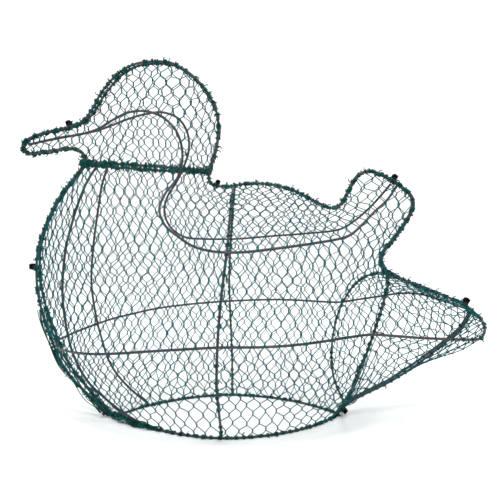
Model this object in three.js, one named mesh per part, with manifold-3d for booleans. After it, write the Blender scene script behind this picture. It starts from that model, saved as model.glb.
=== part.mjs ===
// Duck topiary frame: a wire sculpture of a sitting duck for growing moss or ivy on.
// Bent round rods give the outline, the wings, the belly and the base; half-inch wire
// netting is stretched over them and cable ties clamp the two outline rods together.
// Millimetres, +Z up. The bill points along -X, the duck's left side is -Y and the
// symmetry plane is Y = 0. The frame stands on its two base rods at Z = 0.

import * as THREE from 'three';
import { mergeVertices } from 'three/addons/utils/BufferGeometryUtils.js';
import Module from 'manifold-3d';

const wasm = await Module();
wasm.setup();

// Driving sizes

// A rod is drawn six-sided, with the cross-section area of a round rod of this diameter.
const ROD_DIAMETER = 2.8;
const ROD_SIDES = 6;
const ROD_CORNER_RADIUS = ROD_DIAMETER * 0.55;
const ROD_FLAT_RADIUS = ROD_CORNER_RADIUS * Math.cos(Math.PI / ROD_SIDES);

// Longest straight step along a rod, and the bend one step may turn through.
const ROD_STEP = 42;
const ROD_TURN = THREE.MathUtils.degToRad(20);

// The netting lies outside the rods: distances of its two faces from the rod centres.
const NET_INNER = 3.2;
const NET_OUTER = 4.2;

// How far the netting sheets stop inside the rods round their edges. The body's rear
// edge stops further in, where the belly rod crosses outside the tail hoop.
const BODY_MARGIN = { bottom: 6, front: 7, top: 3, rear: 13 };
const HEAD_MARGIN = { bottom: 5, front: 5.5, top: 3, rear: 4 };
const TAIL_MARGIN = 3.5;

// The netting is pulled taut: how far it bows out between the wing and belly rods.
const TAUT_BULGE = 3;

// Cable ties: strap thickness and width, clearance round the rods, and the head block.
const TIE_STRAP = 1.1;
const TIE_WIDTH = 2.6;
const TIE_CLEARANCE = 0.7;
const TIE_HEAD = { length: 6, width: 4.2, height: 5.4 };

// Base: pointed oval of two rods lying flat on the ground.
const BASE_FRONT = -168;
const BASE_REAR = 106;

// Collar: half oval from the throat to the nape, on each side.
const COLLAR = { front: -196, rear: -49.5, spread: 31, frontHeight: 304, rearHeight: 295 };

// Materials, from the photograph
const rodPaint = new THREE.MeshStandardMaterial({ color: 0x3a363b, roughness: 0.42, metalness: 0.3 });
const netCoat = new THREE.MeshStandardMaterial({ color: 0x1d3f3c, roughness: 0.5, metalness: 0.1 });
const tieNylon = new THREE.MeshStandardMaterial({ color: 0x111214, roughness: 0.45, metalness: 0.0 });

// Rod bends, each as [x, distance from the symmetry plane, z]

// Outline rod: from the base front up the breast, round the bill and head, along the
// back, round the raised wing tip, out to the tail and back down to the base.
const OUTLINE = [
  [-172, 3.4, 4.6], [-192, 6.7, 24], [-221, 8.8, 60], [-233, 9.8, 87], [-247, 7.8, 128],
  [-253, 6.2, 162], [-251.5, 4, 202], [-242, 2.8, 232], [-226, 3.2, 263], [-205, 3.7, 290],
  [-195.5, 4, 304], [-197, 3.9, 316], [-208, 3.7, 321.5], [-239, 3.3, 318], [-260, 3, 316],
  [-266, 3, 319], [-266.5, 3, 326], [-261, 3, 332], [-241, 2.8, 340], [-226, 2.8, 343],
  [-206, 3, 348], [-195, 3.7, 353.5], [-186, 5, 363], [-170, 6.9, 388], [-150, 5.8, 409],
  [-133, 5.1, 418], [-112, 4.8, 421], [-91, 4.7, 419.5], [-73, 4.8, 410], [-57, 4.8, 395.5],
  [-41, 4.9, 370], [-37, 4.5, 347], [-40, 3.9, 320], [-48.5, 3.4, 293], [-46.5, 3.1, 281.5],
  [-31, 2.8, 277.3], [-1, 2.8, 281], [24, 3, 280], [51, 3.6, 273], [83, 4.3, 257],
  [97, 4.5, 252], [107.5, 4.7, 256], [114.5, 4.9, 268], [126, 5, 289], [136, 5, 295],
  [152, 5, 292.5], [183, 3.2, 274], [192, 2.9, 264], [193, 3.1, 252], [172, 4, 216],
  [159, 4, 200], [156, 4, 191], [159.5, 4, 180], [183, 3.7, 167], [207, 3.4, 157],
  [243, 2.9, 143], [260, 2.8, 135], [264, 2.8, 129], [255, 2.9, 110], [235, 3.3, 91],
  [195, 4, 60], [167, 3.6, 42], [134, 3.2, 25], [116, 3, 14], [109, 3, 6.2],
];

// Wing rods: bill tip, cheek, shoulder, along the wing and up to the wing tip. They were
// bent by hand, so the shoulder of the right one sits a little further forward.
const WING_LEFT = [
  [-259, 2, 326], [-219, 2.3, 335], [-198, 3, 338], [-178, 4, 344], [-159, 11, 353], [-138, 21, 360],
  [-117, 29, 360], [-98, 34, 353], [-83, 38, 339], [-76, 38, 321], [-76, 34, 303], [-82, 35, 284],
  [-93, 43, 269], [-99, 52, 251], [-92, 63, 234], [-76, 77, 222], [-59, 94, 213], [-40, 111, 209],
  [-22, 124, 208.5], [-6, 128, 209], [28, 129, 213], [62, 119, 217], [101, 90, 223], [119, 70, 234],
  [136, 49, 247], [156, 26, 261], [169, 8.4, 274.4],
];
const WING_RIGHT = [
  [-259, 2, 326], [-221, 2.3, 335], [-201, 3, 339], [-182, 4, 343], [-164, 11, 351], [-147, 21, 360],
  [-128, 29, 367], [-108, 34, 370], [-89, 37, 363], [-78, 38, 346], [-76, 35, 324], [-82, 34, 304],
  [-92, 39, 285], [-105, 49, 267], [-111, 60, 246], [-104, 72, 226], [-87, 89, 213], [-65, 106, 210],
  [-42, 119.5, 209], [-18, 128, 209], [31, 129, 213], [79, 119, 217], [122, 90, 224], [138, 70, 236],
  [151, 49, 251], [160, 26, 266], [165, 8.4, 276.5],
];

// Belly rods: one plan shape for both sides, pinched where the tail hoop crosses, and
// each side's own height along it. The tail was bent with a slight roll to the left.
const BELLY_PLAN = [
  [-231, 1.8], [-226, 20], [-216, 39], [-202, 57], [-184, 74], [-162, 90], [-135, 106], [-105, 119],
  [-70, 130], [-30, 137], [5, 139], [36, 136], [66, 126], [98, 110], [124, 101], [150, 100.5],
  [178, 101.5], [206, 103], [224, 103], [234, 101.5], [240, 97.5], [245, 87], [252, 63],
  [258.5, 28], [263.5, 7.4],
];
const BELLY_HEIGHT_LEFT = [
  [-231, 91], [-172, 98], [-103, 110], [-45, 118], [39, 120], [124, 122.7], [178, 119.2], [226, 118],
  [234, 118.5], [245, 127], [252, 130.3], [264, 131],
];
const BELLY_HEIGHT_RIGHT = [
  [-231, 93], [-188, 104], [-127, 113], [-57, 117], [56, 121], [124, 122.4], [165, 128.5],
  [210, 134.7], [230, 134.7], [240, 133], [264, 130],
];

// Mid hoops: from the back down each flank to the base rods, inside the long rods.
const HOOP_LEFT = [
  [-19, 6.6, 277.2], [-19.3, 20, 274], [-20.2, 78, 251], [-21, 105, 232], [-22, 116.5, 214], [-24, 125, 196],
  [-28, 133, 162], [-31, 133, 124], [-33, 122, 84], [-33, 110, 60], [-32, 93, 34], [-31, 70.6, 5.2],
];
const HOOP_RIGHT = [
  [-19, 6.6, 277.2], [-20, 20, 274], [-23, 78, 251], [-25, 105, 232], [-26.6, 117.7, 214],
  [-27.6, 125.5, 199], [-30, 134, 152], [-29, 130, 114], [-27, 119, 78], [-26, 111, 61], [-25, 101, 44],
  [-24.3, 70.3, 5.2],
];

// Breast rods: from the collar down to the base rods, inside the belly rods.
const BREAST_LEFT = [
  [-173, 21.5, 301.5], [-184, 32, 280], [-191, 42, 256], [-197, 49, 231], [-202, 53.5, 206],
  [-206, 55, 155], [-200, 54, 104], [-193, 51, 79], [-182, 44, 54], [-165, 37, 33], [-146, 33, 15],
  [-129, 31.6, 5.2],
];
const BREAST_RIGHT = [
  [-174, 21.5, 301.5], [-184, 32, 280], [-191, 42, 256], [-197, 49, 231], [-202, 53.5, 205],
  [-206, 55, 154], [-199, 54, 103], [-192, 51, 79], [-183, 45, 56], [-168, 38, 36], [-150, 34, 19],
  [-130, 31, 5.2],
];

// Tail hoops: ring between the body and the fanned tail.
const TAIL_HOOP_LEFT = [
  [163, 7.6, 173.6], [153, 46, 166], [146, 66, 158], [140, 79, 149], [135, 87, 140], [127, 94.5, 121],
  [120, 95.5, 101], [116, 94, 91], [111, 82, 67], [108.5, 64, 47], [109, 40, 32], [112.5, 7.6, 17.6],
];
const TAIL_HOOP_RIGHT = [
  [162, 7.6, 173.8], [155, 37, 169], [147, 64, 160], [139, 82, 147], [132, 90.5, 133],
  [125, 95, 117], [120, 95.5, 102], [116, 93, 87], [110, 76, 59], [108, 45, 36], [110, 27, 27],
  [112.5, 7.6, 18.4],
];

// Base rods in plan.
const BASE_PLAN = [
  [BASE_FRONT, 3], [-156, 4.5], [-148, 11], [-140, 20.5], [-128, 31], [-102, 48], [-70, 62.5],
  [-31, 70.5], [10, 65.6], [45, 52.9], [75, 34.2], [95, 15.5], [BASE_REAR, 3],
];

// Cable ties on the outline rods: a point near each, and which way its head points. The
// head of the front base tie sits on its left end instead.
const TIES = [
  { name: 'tie_bill', at: [-212, 346.6], head: [0.25, 1] },
  { name: 'tie_breast', at: [-252.7, 182], head: [-1, 0] },
  { name: 'tie_nape', at: [-38.5, 279], head: [-0.1, 1] },
  { name: 'tie_wing_tip', at: [168, 283.5], head: [0.5, 0.86] },
  { name: 'tie_tail', at: [257, 137], head: [0.38, 0.92] },
  { name: 'tie_base_rear', at: [111.5, 9], head: [0.6, -0.8] },
  { name: 'tie_base_front', at: [-174.5, 7], head: [-0.6, -0.8], headOnLeft: true },
];

const LEFT = -1;
const RIGHT = 1;

function sidePoints(bends, side) {
  return bends.map(([x, spread, z]) => new THREE.Vector3(x, side * spread, z));
}

function spline(points) {
  return new THREE.CatmullRomCurve3(points, false, 'centripetal');
}

// Height at x along a list of [x, height] pairs.
function heightAt(profile, x) {
  const last = profile.length - 1;
  let k = 0;
  while (k < last - 1 && profile[k + 1][0] < x) k += 1;
  const [x0, z0] = profile[k];
  const [x1, z1] = profile[k + 1];
  const t = THREE.MathUtils.clamp((x - x0) / (x1 - x0), 0, 1);
  return z0 + (z1 - z0) * t;
}

// Walks a curve so that its steps are short where it bends and long where it is straight.
class RodPath extends THREE.Curve {
  constructor(curve, longest = ROD_STEP, turning = ROD_TURN) {
    super();
    this.curve = curve;
    this.table = [0];
    const samples = 600;
    let previous = curve.getPoint(0);
    let direction = null;
    for (let i = 1; i <= samples; i += 1) {
      const point = curve.getPoint(i / samples);
      const next = point.clone().sub(previous);
      const length = next.length();
      next.normalize();
      const turn = direction ? direction.angleTo(next) : 0;
      this.table.push(this.table[i - 1] + length / longest + turn / turning);
      previous = point;
      direction = next;
    }
    this.steps = Math.max(3, Math.round(this.table[samples]));
  }

  getPoint(share, target = new THREE.Vector3()) {
    const samples = this.table.length - 1;
    const wanted = THREE.MathUtils.clamp(share, 0, 1) * this.table[samples];
    let low = 0;
    let high = samples;
    while (high - low > 1) {
      const middle = (low + high) >> 1;
      if (this.table[middle] < wanted) low = middle;
      else high = middle;
    }
    const part = (wanted - this.table[low]) / (this.table[high] - this.table[low]);
    return this.curve.getPoint((low + part) / samples, target);
  }

  getPointAt(share, target) {
    return this.getPoint(share, target);
  }

  getTangentAt(share, target) {
    return this.getTangent(share, target);
  }
}

// A six-sided section with two flats square to its first axis.
function rodSection() {
  const section = new THREE.Shape();
  for (let i = 0; i < ROD_SIDES; i += 1) {
    const angle = ((i + 0.5) / ROD_SIDES) * Math.PI * 2;
    const x = ROD_CORNER_RADIUS * Math.cos(angle);
    const y = ROD_CORNER_RADIUS * Math.sin(angle);
    if (i === 0) section.moveTo(x, y);
    else section.lineTo(x, y);
  }
  section.closePath();
  return section;
}

function closedMesh(geometry) {
  geometry.deleteAttribute('normal');
  geometry.deleteAttribute('uv');
  const merged = mergeVertices(geometry, 1e-4);
  merged.computeVertexNormals();
  return merged;
}

function rodGeometry(curve) {
  const path = new RodPath(curve);
  const options = { steps: path.steps, extrudePath: path, bevelEnabled: false };
  return closedMesh(new THREE.ExtrudeGeometry(rodSection(), options));
}

// Rod centre lines for one side

function bellyCurve(side) {
  const heights = side === LEFT ? BELLY_HEIGHT_LEFT : BELLY_HEIGHT_RIGHT;
  const points = BELLY_PLAN.map(([x, spread]) => [x, spread, heightAt(heights, x)]);
  return spline(sidePoints(points, side));
}

function baseCurve(side) {
  const points = BASE_PLAN.map(([x, spread]) => [x, spread, ROD_FLAT_RADIUS]);
  return spline(sidePoints(points, side));
}

function collarPoint(side, angle) {
  const centre = (COLLAR.front + COLLAR.rear) / 2;
  const half = (COLLAR.rear - COLLAR.front) / 2;
  const x = centre - half * Math.cos(angle);
  const along = (x - COLLAR.front) / (2 * half);
  const z = THREE.MathUtils.lerp(COLLAR.frontHeight, COLLAR.rearHeight, along);
  return new THREE.Vector3(x, side * (3 + COLLAR.spread * Math.sin(angle)), z);
}

function collarCurve(side) {
  const points = [];
  const first = 0.16;
  for (let i = 0; i <= 12; i += 1) {
    points.push(collarPoint(side, first + ((Math.PI - 2 * first) * i) / 12));
  }
  return spline(points);
}

function rodCurves(side) {
  const left = side === LEFT;
  return {
    outline: spline(sidePoints(OUTLINE, side)),
    wing: spline(sidePoints(left ? WING_LEFT : WING_RIGHT, side)),
    belly: bellyCurve(side),
    mid_hoop: spline(sidePoints(left ? HOOP_LEFT : HOOP_RIGHT, side)),
    breast: spline(sidePoints(left ? BREAST_LEFT : BREAST_RIGHT, side)),
    tail_hoop: spline(sidePoints(left ? TAIL_HOOP_LEFT : TAIL_HOOP_RIGHT, side)),
    base: baseCurve(side),
    collar: collarCurve(side),
  };
}

// Skin of the body and head: the square of the half-width is a thin-plate surface over
// the side view, so cross-sections close roundly at the outline.

function plate(radiusSquared) {
  return radiusSquared > 1e-9 ? 0.5 * radiusSquared * Math.log(radiusSquared) : 0;
}

function solve(rows, wanted) {
  const n = wanted.length;
  const a = rows.map((row, i) => [...row, wanted[i]]);
  for (let c = 0; c < n; c += 1) {
    let pivot = c;
    for (let r = c + 1; r < n; r += 1) {
      if (Math.abs(a[r][c]) > Math.abs(a[pivot][c])) pivot = r;
    }
    [a[c], a[pivot]] = [a[pivot], a[c]];
    for (let r = c + 1; r < n; r += 1) {
      const factor = a[r][c] / a[c][c];
      if (factor !== 0) {
        for (let k = c; k <= n; k += 1) a[r][k] -= factor * a[c][k];
      }
    }
  }
  const x = new Array(n).fill(0);
  for (let r = n - 1; r >= 0; r -= 1) {
    let sum = a[r][n];
    for (let k = r + 1; k < n; k += 1) sum -= a[r][k] * x[k];
    x[r] = sum / a[r][r];
  }
  return x;
}

function skinWidth(curves) {
  const unit = 100;
  const spacing = { outline: 26, wing: 30, belly: 34, mid_hoop: 34, breast: 34, tail_hoop: 30, base: 34 };
  const clear = { wing: 1.9, belly: 1.9, mid_hoop: 4.4, breast: 3.2, tail_hoop: 2.5 };
  const data = [];
  for (const [name, step] of Object.entries(spacing)) {
    const curve = curves[name];
    const count = Math.max(4, Math.round(curve.getLength() / step));
    for (let i = 0; i <= count; i += 1) {
      const p = curve.getPointAt(i / count);
      const behindTail = (name === 'belly' || name === 'outline') && p.x > 124 && p.z < 178;
      const inBill = p.x < -205 && p.z > 310;
      const clash = data.some((d) => Math.hypot(d.x - p.x / unit, d.z - p.z / unit) < 0.05);
      const spread = Math.abs(p.y) + (clear[name] ?? 0);
      if (!behindTail && !inBill && !clash) {
        data.push({ x: p.x / unit, z: p.z / unit, w: (spread / unit) ** 2 });
      }
    }
  }
  const wing = curves.wing.getPoints(400).filter((p) => p.z < 225);
  const belly = curves.belly.getPoints(400);
  const closest = (points, x) => points.reduce((a, b) => (Math.abs(b.x - x) < Math.abs(a.x - x) ? b : a));
  for (let x = -64; x <= 92; x += 26) {
    const middle = closest(wing, x).clone().lerp(closest(belly, x), 0.5);
    const spread = Math.abs(middle.y) + TAUT_BULGE;
    if (Math.abs(x + 26) > 14) data.push({ x: middle.x / unit, z: middle.z / unit, w: (spread / unit) ** 2 });
  }
  const n = data.length;
  const stiffness = 2e-4;
  const rows = [];
  for (let i = 0; i < n; i += 1) {
    const row = data.map((d, j) => (
      plate((d.x - data[i].x) ** 2 + (d.z - data[i].z) ** 2) + (i === j ? stiffness : 0)
    ));
    rows.push([...row, 1, data[i].x, data[i].z]);
  }
  rows.push([...data.map(() => 1), 0, 0, 0]);
  rows.push([...data.map((d) => d.x), 0, 0, 0]);
  rows.push([...data.map((d) => d.z), 0, 0, 0]);
  const weights = solve(rows, [...data.map((d) => d.w), 0, 0, 0]);
  return (x, z) => {
    const u = x / unit;
    const v = z / unit;
    let sum = weights[n] + weights[n + 1] * u + weights[n + 2] * v;
    for (let i = 0; i < n; i += 1) sum += weights[i] * plate((data[i].x - u) ** 2 + (data[i].z - v) ** 2);
    return unit * Math.sqrt(Math.max(sum, 0.0004));
  };
}

// Netting sheets as thin closed shells

// Points evenly spaced along a polyline of [x, z] pairs.
function evenly(points, count) {
  const lengths = [0];
  for (let i = 1; i < points.length; i += 1) {
    const step = Math.hypot(points[i][0] - points[i - 1][0], points[i][1] - points[i - 1][1]);
    lengths.push(lengths[i - 1] + step);
  }
  const total = lengths[lengths.length - 1];
  const result = [];
  let k = 0;
  for (let i = 0; i <= count; i += 1) {
    const wanted = (total * i) / count;
    while (k < points.length - 2 && lengths[k + 1] < wanted) k += 1;
    const t = (wanted - lengths[k]) / (lengths[k + 1] - lengths[k]);
    const [x0, z0] = points[k];
    const [x1, z1] = points[k + 1];
    result.push([x0 + (x1 - x0) * t, z0 + (z1 - z0) * t]);
  }
  return result;
}

// Side view of a stretch of a rod between the points nearest two given spots.
function stretch(curve, from, to) {
  const samples = 800;
  const points = curve.getPoints(samples);
  const nearest = ([x, z]) => {
    let best = 0;
    points.forEach((p, i) => {
      if (Math.hypot(p.x - x, p.z - z) < Math.hypot(points[best].x - x, points[best].z - z)) best = i;
    });
    return best;
  };
  const a = nearest(from);
  const b = nearest(to);
  const cut = points.slice(Math.min(a, b), Math.max(a, b) + 1).map((p) => [p.x, p.z]);
  return a <= b ? cut : cut.reverse();
}

// Blends four edges of [x, z] points into a grid; rows run from the bottom to the top.
function blendEdges(bottom, top, front, rear) {
  const columns = bottom.length - 1;
  const rows = front.length - 1;
  const grid = [];
  for (let j = 0; j <= rows; j += 1) {
    const t = j / rows;
    const line = [];
    for (let i = 0; i <= columns; i += 1) {
      const s = i / columns;
      const mix = (k) => (1 - t) * bottom[i][k] + t * top[i][k] + (1 - s) * front[j][k] + s * rear[j][k]
        - (1 - s) * (1 - t) * bottom[0][k] - s * (1 - t) * bottom[columns][k]
        - (1 - s) * t * top[0][k] - s * t * top[columns][k];
      line.push([mix(0), mix(1)]);
    }
    grid.push(line);
  }
  return relaxed(grid);
}

// Evens out the inside of a grid so that its lines don't fold near a concave edge.
function relaxed(grid) {
  const rounds = 250;
  for (let round = 0; round < rounds; round += 1) {
    for (let j = 1; j < grid.length - 1; j += 1) {
      for (let i = 1; i < grid[0].length - 1; i += 1) {
        const [w, e, s, n] = [grid[j][i - 1], grid[j][i + 1], grid[j - 1][i], grid[j + 1][i]];
        const along = [(e[0] - w[0]) / 2, (e[1] - w[1]) / 2];
        const up = [(n[0] - s[0]) / 2, (n[1] - s[1]) / 2];
        const alpha = up[0] ** 2 + up[1] ** 2;
        const beta = along[0] * up[0] + along[1] * up[1];
        const gamma = along[0] ** 2 + along[1] ** 2;
        const twist = (k) => (
          grid[j + 1][i + 1][k] - grid[j + 1][i - 1][k] - grid[j - 1][i + 1][k] + grid[j - 1][i - 1][k]
        );
        const settle = (k) => (
          (alpha * (e[k] + w[k]) + gamma * (n[k] + s[k]) - (beta / 2) * twist(k)) / (2 * (alpha + gamma))
        );
        grid[j][i] = [settle(0), settle(1)];
      }
    }
  }
  return grid;
}

// Pulls the four edges of a grid of [x, z] points inwards by their margins.
function pullIn(grid, margins) {
  const rows = grid.length - 1;
  const columns = grid[0].length - 1;
  const moved = grid.map((line) => line.map((p) => [...p]));
  const step = (from, to, margin) => {
    const length = Math.hypot(to[0] - from[0], to[1] - from[1]);
    const share = Math.min(0.6, margin / length);
    return [(to[0] - from[0]) * share, (to[1] - from[1]) * share];
  };
  for (let j = 0; j <= rows; j += 1) {
    for (let i = 0; i <= columns; i += 1) {
      const pulls = [];
      if (i === 0) pulls.push(step(grid[j][0], grid[j][1], margins.front));
      if (i === columns) pulls.push(step(grid[j][columns], grid[j][columns - 1], margins.rear));
      if (j === 0) pulls.push(step(grid[0][i], grid[1][i], margins.bottom));
      if (j === rows) pulls.push(step(grid[rows][i], grid[rows - 1][i], margins.top));
      for (const [dx, dz] of pulls) {
        moved[j][i][0] += dx;
        moved[j][i][1] += dz;
      }
    }
  }
  return moved;
}

// Closed shell between two offsets of a grid of points, outwards on the given side.
function shellGeometry(grid, side, normalAt = null) {
  const rows = grid.length - 1;
  const columns = grid[0].length - 1;
  const faceNormal = (j, i) => {
    const a = grid[j + 1][i + 1].clone().sub(grid[j][i]);
    const b = grid[j + 1][i].clone().sub(grid[j][i + 1]);
    return a.cross(b).normalize().multiplyScalar(-side);
  };
  const offset = (j, i, distance) => {
    if (normalAt) return grid[j][i].clone().addScaledVector(normalAt(grid[j][i]), distance);
    const faces = [];
    for (const dj of [-1, 0]) {
      for (const di of [-1, 0]) {
        const inside = j + dj >= 0 && j + dj < rows && i + di >= 0 && i + di < columns;
        if (inside) faces.push(faceNormal(j + dj, i + di));
      }
    }
    const mean = faces.reduce((sum, f) => sum.add(f), new THREE.Vector3()).normalize();
    const least = Math.max(0.5, Math.min(...faces.map((f) => f.dot(mean))));
    return grid[j][i].clone().addScaledVector(mean, distance / least);
  };
  const positions = [];
  for (const distance of [NET_INNER, NET_OUTER]) {
    for (let j = 0; j <= rows; j += 1) {
      for (let i = 0; i <= columns; i += 1) positions.push(...offset(j, i, distance).toArray());
    }
  }
  const layer = (rows + 1) * (columns + 1);
  const index = (level, j, i) => level * layer + j * (columns + 1) + i;
  const triangles = [];
  const quad = (a, b, c, d) => {
    if (side === RIGHT) triangles.push(a, c, b, a, d, c);
    else triangles.push(a, b, c, a, c, d);
  };
  for (let j = 0; j < rows; j += 1) {
    for (let i = 0; i < columns; i += 1) {
      quad(index(1, j, i), index(1, j, i + 1), index(1, j + 1, i + 1), index(1, j + 1, i));
      quad(index(0, j, i), index(0, j + 1, i), index(0, j + 1, i + 1), index(0, j, i + 1));
    }
  }
  for (let i = 0; i < columns; i += 1) {
    quad(index(0, 0, i), index(0, 0, i + 1), index(1, 0, i + 1), index(1, 0, i));
    quad(index(1, rows, i), index(1, rows, i + 1), index(0, rows, i + 1), index(0, rows, i));
  }
  for (let j = 0; j < rows; j += 1) {
    quad(index(1, j, 0), index(1, j + 1, 0), index(0, j + 1, 0), index(0, j, 0));
    quad(index(0, j, columns), index(0, j + 1, columns), index(1, j + 1, columns), index(1, j, columns));
  }
  const geometry = new THREE.BufferGeometry();
  geometry.setAttribute('position', new THREE.Float32BufferAttribute(positions, 3));
  geometry.setIndex(triangles);
  geometry.computeVertexNormals();
  return geometry;
}

// Outward direction of the skin, from the slope of the squared half-width.
function skinNormal(width, side) {
  const h = 1;
  return (p) => {
    const square = (x, z) => width(x, z) ** 2;
    const slopeX = (square(p.x + h, p.z) - square(p.x - h, p.z)) / (2 * h);
    const slopeZ = (square(p.x, p.z + h) - square(p.x, p.z - h)) / (2 * h);
    return new THREE.Vector3(-slopeX, 2 * side * width(p.x, p.z), -slopeZ).normalize();
  };
}

function raise(plan, width, side) {
  return plan.map((line) => line.map(([x, z]) => new THREE.Vector3(x, side * width(x, z), z)));
}

function bodyPlan(curves) {
  const rows = 12;
  const lift = 3;
  const shares = [8, 8, 3];
  const columns = shares.reduce((sum, n) => sum + n, 0);
  const bottom = evenly([[BASE_FRONT, lift], [112, lift]], columns);
  const front = evenly([[BASE_FRONT, lift], ...stretch(curves.outline, [-180, 11], [-196, 303])], rows);
  const parts = [
    [[COLLAR.front, 303], [COLLAR.rear - 4, 294]],
    stretch(curves.outline, [-44, 280], [90, 253.5]),
    stretch(curves.outline, [90, 253.5], [134, 294.5]),
  ];
  const top = parts.flatMap((part, k) => evenly(part, shares[k]).slice(k === 0 ? 0 : 1));
  const hoop = curves.tail_hoop.getPoints(60).map((p) => [p.x, p.z]).reverse();
  const wingTip = stretch(curves.outline, [134, 294.5], [158, 184]).reverse();
  const rear = evenly([[112, lift], ...hoop, ...wingTip], rows);
  return pullIn(blendEdges(bottom, top, front, rear), BODY_MARGIN);
}

function headPlan(curves) {
  const columns = 9;
  const rows = 6;
  const bottom = evenly([[COLLAR.front, 306], [COLLAR.rear, 297]], columns);
  const front = evenly(stretch(curves.outline, [-196, 306], [-207, 321]).concat([[-207, 347]]), rows);
  const top = evenly(stretch(curves.outline, [-207, 347.6], [-60, 398]), columns);
  const rear = evenly(stretch(curves.outline, [-48, 297], [-60, 398]), rows);
  return pullIn(blendEdges(bottom, top, front, rear), HEAD_MARGIN);
}

function billGrid(curves, side) {
  const low = evenly(stretch(curves.outline, [-212, 321], [-260, 316]), 5);
  const high = evenly(stretch(curves.outline, [-212, 346], [-259, 333]), 5);
  const spreads = [5.4, 7.2, 5.4];
  return spreads.map((spread, j) => low.map((p, i) => {
    const share = 0.18 + (0.64 * j) / 2;
    const x = p[0] + (high[i][0] - p[0]) * share;
    const z = p[1] + (high[i][1] - p[1]) * share;
    return new THREE.Vector3(x, side * spread, z);
  }).reverse());
}

// The fanned tail: flat panels from the outline rods to the belly rod, above and below.
function tailGrids(curves, side) {
  const columns = 12;
  const half = 2;
  const inX = (curve, from, to) => {
    const points = curve.getPoints(800).filter((p) => p.x >= Math.min(from, to));
    return points;
  };
  const pick = (points, count) => {
    const path = new THREE.CurvePath();
    for (let i = 1; i < points.length; i += 1) path.add(new THREE.LineCurve3(points[i - 1], points[i]));
    return Array.from({ length: count + 1 }, (_, i) => path.getPointAt((0.97 * i) / count));
  };
  const outline = inX(curves.outline, 109, 300);
  const tip = outline.reduce(
    (best, p, i) => (p.z < 160 && p.x > outline[best].x ? i : best),
    outline.length - 1,
  );
  const upper = outline.slice(0, tip).filter((p) => p.z < 177 && p.x > 163);
  const lower = outline.slice(tip).filter((p) => p.z > 17);
  const fan = curves.belly.getPoints(800).filter((p) => p.x > 124);
  const hoop = curves.tail_hoop.getPoints(200);
  const bellyHeight = side === LEFT ? BELLY_HEIGHT_LEFT : BELLY_HEIGHT_RIGHT;
  const crossing = hoop.findIndex((p) => p.z < heightAt(bellyHeight, 125));
  const top = pick(upper, columns);
  const fanPath = new RodPath(spline(fan.filter((p, i) => i % 8 === 0)), 20, 0.44);
  const edge = Array.from({ length: columns + 1 }, (_, i) => fanPath.getPoint((0.97 * i) / columns));
  const under = pick(lower.reverse(), columns);
  const hoopTop = pick(hoop.slice(0, crossing), half);
  const hoopUnder = pick(hoop.slice(crossing), half);
  const panel = (from, to, end) => {
    const lines = [];
    for (let j = 0; j <= half; j += 1) {
      const t = j / half;
      lines.push(from.map((p, i) => {
        const s = i / columns;
        const flat = p.clone().lerp(to[i], t);
        const bulge = end[j].clone().sub(end[0].clone().lerp(end[half], t));
        return flat.addScaledVector(bulge, (1 - s) ** 2);
      }));
    }
    return lines;
  };
  const eased = (lines) => {
    const last = lines.length - 1;
    const towards = (from, to) => from.map((p, i) => {
      const share = Math.min(0.45, TAIL_MARGIN / Math.max(p.distanceTo(to[i]), 1));
      return p.clone().lerp(to[i], share);
    });
    const rowsIn = [
      towards(lines[0], lines[1]), ...lines.slice(1, last), towards(lines[last], lines[last - 1]),
    ];
    return rowsIn.map((line) => [line[0].clone().lerp(line[1], 0.45), ...line.slice(1)]).reverse();
  };
  return { upper: eased(panel(top, edge, hoopTop)), lower: eased(panel(edge, under, hoopUnder)) };
}

function columnsOf(grid, from, to) {
  return grid.map((line) => line.slice(from, to + 1));
}

// Shifts the first or last column of a sheet away from its neighbour's edge.
function trimmed(grid, atStart) {
  return grid.map((line) => {
    const copy = line.map((p) => p.clone());
    if (atStart) copy[0].lerp(copy[1], 0.06);
    else copy[copy.length - 1].lerp(copy[copy.length - 2], 0.06);
    return copy;
  });
}

// Cable ties

function toManifold(geometry) {
  const plain = geometry.clone();
  plain.deleteAttribute('normal');
  plain.deleteAttribute('uv');
  const merged = mergeVertices(plain, 1e-4);
  const vertProperties = new Float32Array(merged.attributes.position.array);
  const triVerts = new Uint32Array(merged.index.array);
  return new wasm.Manifold(new wasm.Mesh({ numProp: 3, vertProperties, triVerts }));
}

function fromManifold(solid) {
  const mesh = solid.getMesh();
  const geometry = new THREE.BufferGeometry();
  geometry.setAttribute('position', new THREE.Float32BufferAttribute(mesh.vertProperties, 3));
  geometry.setIndex([...mesh.triVerts]);
  geometry.computeVertexNormals();
  return geometry;
}

// Stadium outline in the strap's plane: y across the two rods, x along the head direction.
function stadium(shape, halfSpan, radius, facets) {
  for (const end of [1, -1]) {
    for (let i = 0; i <= facets; i += 1) {
      const angle = (end > 0 ? 0 : Math.PI) + (Math.PI * i) / facets;
      const x = radius * Math.cos(angle);
      const y = end * halfSpan + radius * Math.sin(angle);
      if (end > 0 && i === 0) shape.moveTo(x, y);
      else shape.lineTo(x, y);
    }
  }
  shape.closePath();
  return shape;
}

function tieGeometry(halfSpan, headOnLeft) {
  const inner = ROD_CORNER_RADIUS + TIE_CLEARANCE;
  const strap = stadium(new THREE.Shape(), halfSpan, inner + TIE_STRAP, 3);
  strap.holes.push(stadium(new THREE.Path(), halfSpan, inner, 3));
  const ring = new THREE.ExtrudeGeometry(strap, { depth: TIE_WIDTH, bevelEnabled: false, steps: 1 });
  ring.translate(0, 0, -TIE_WIDTH / 2);
  const head = new THREE.BoxGeometry(TIE_HEAD.height, TIE_HEAD.length, TIE_HEAD.width);
  const reach = inner + 0.3 + TIE_HEAD.height / 2;
  if (headOnLeft) {
    head.rotateZ(Math.PI / 2);
    head.translate(0, halfSpan + reach, 0);
  } else {
    head.translate(reach, 0, 0);
  }
  return fromManifold(toManifold(ring).add(toManifold(head)));
}

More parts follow.
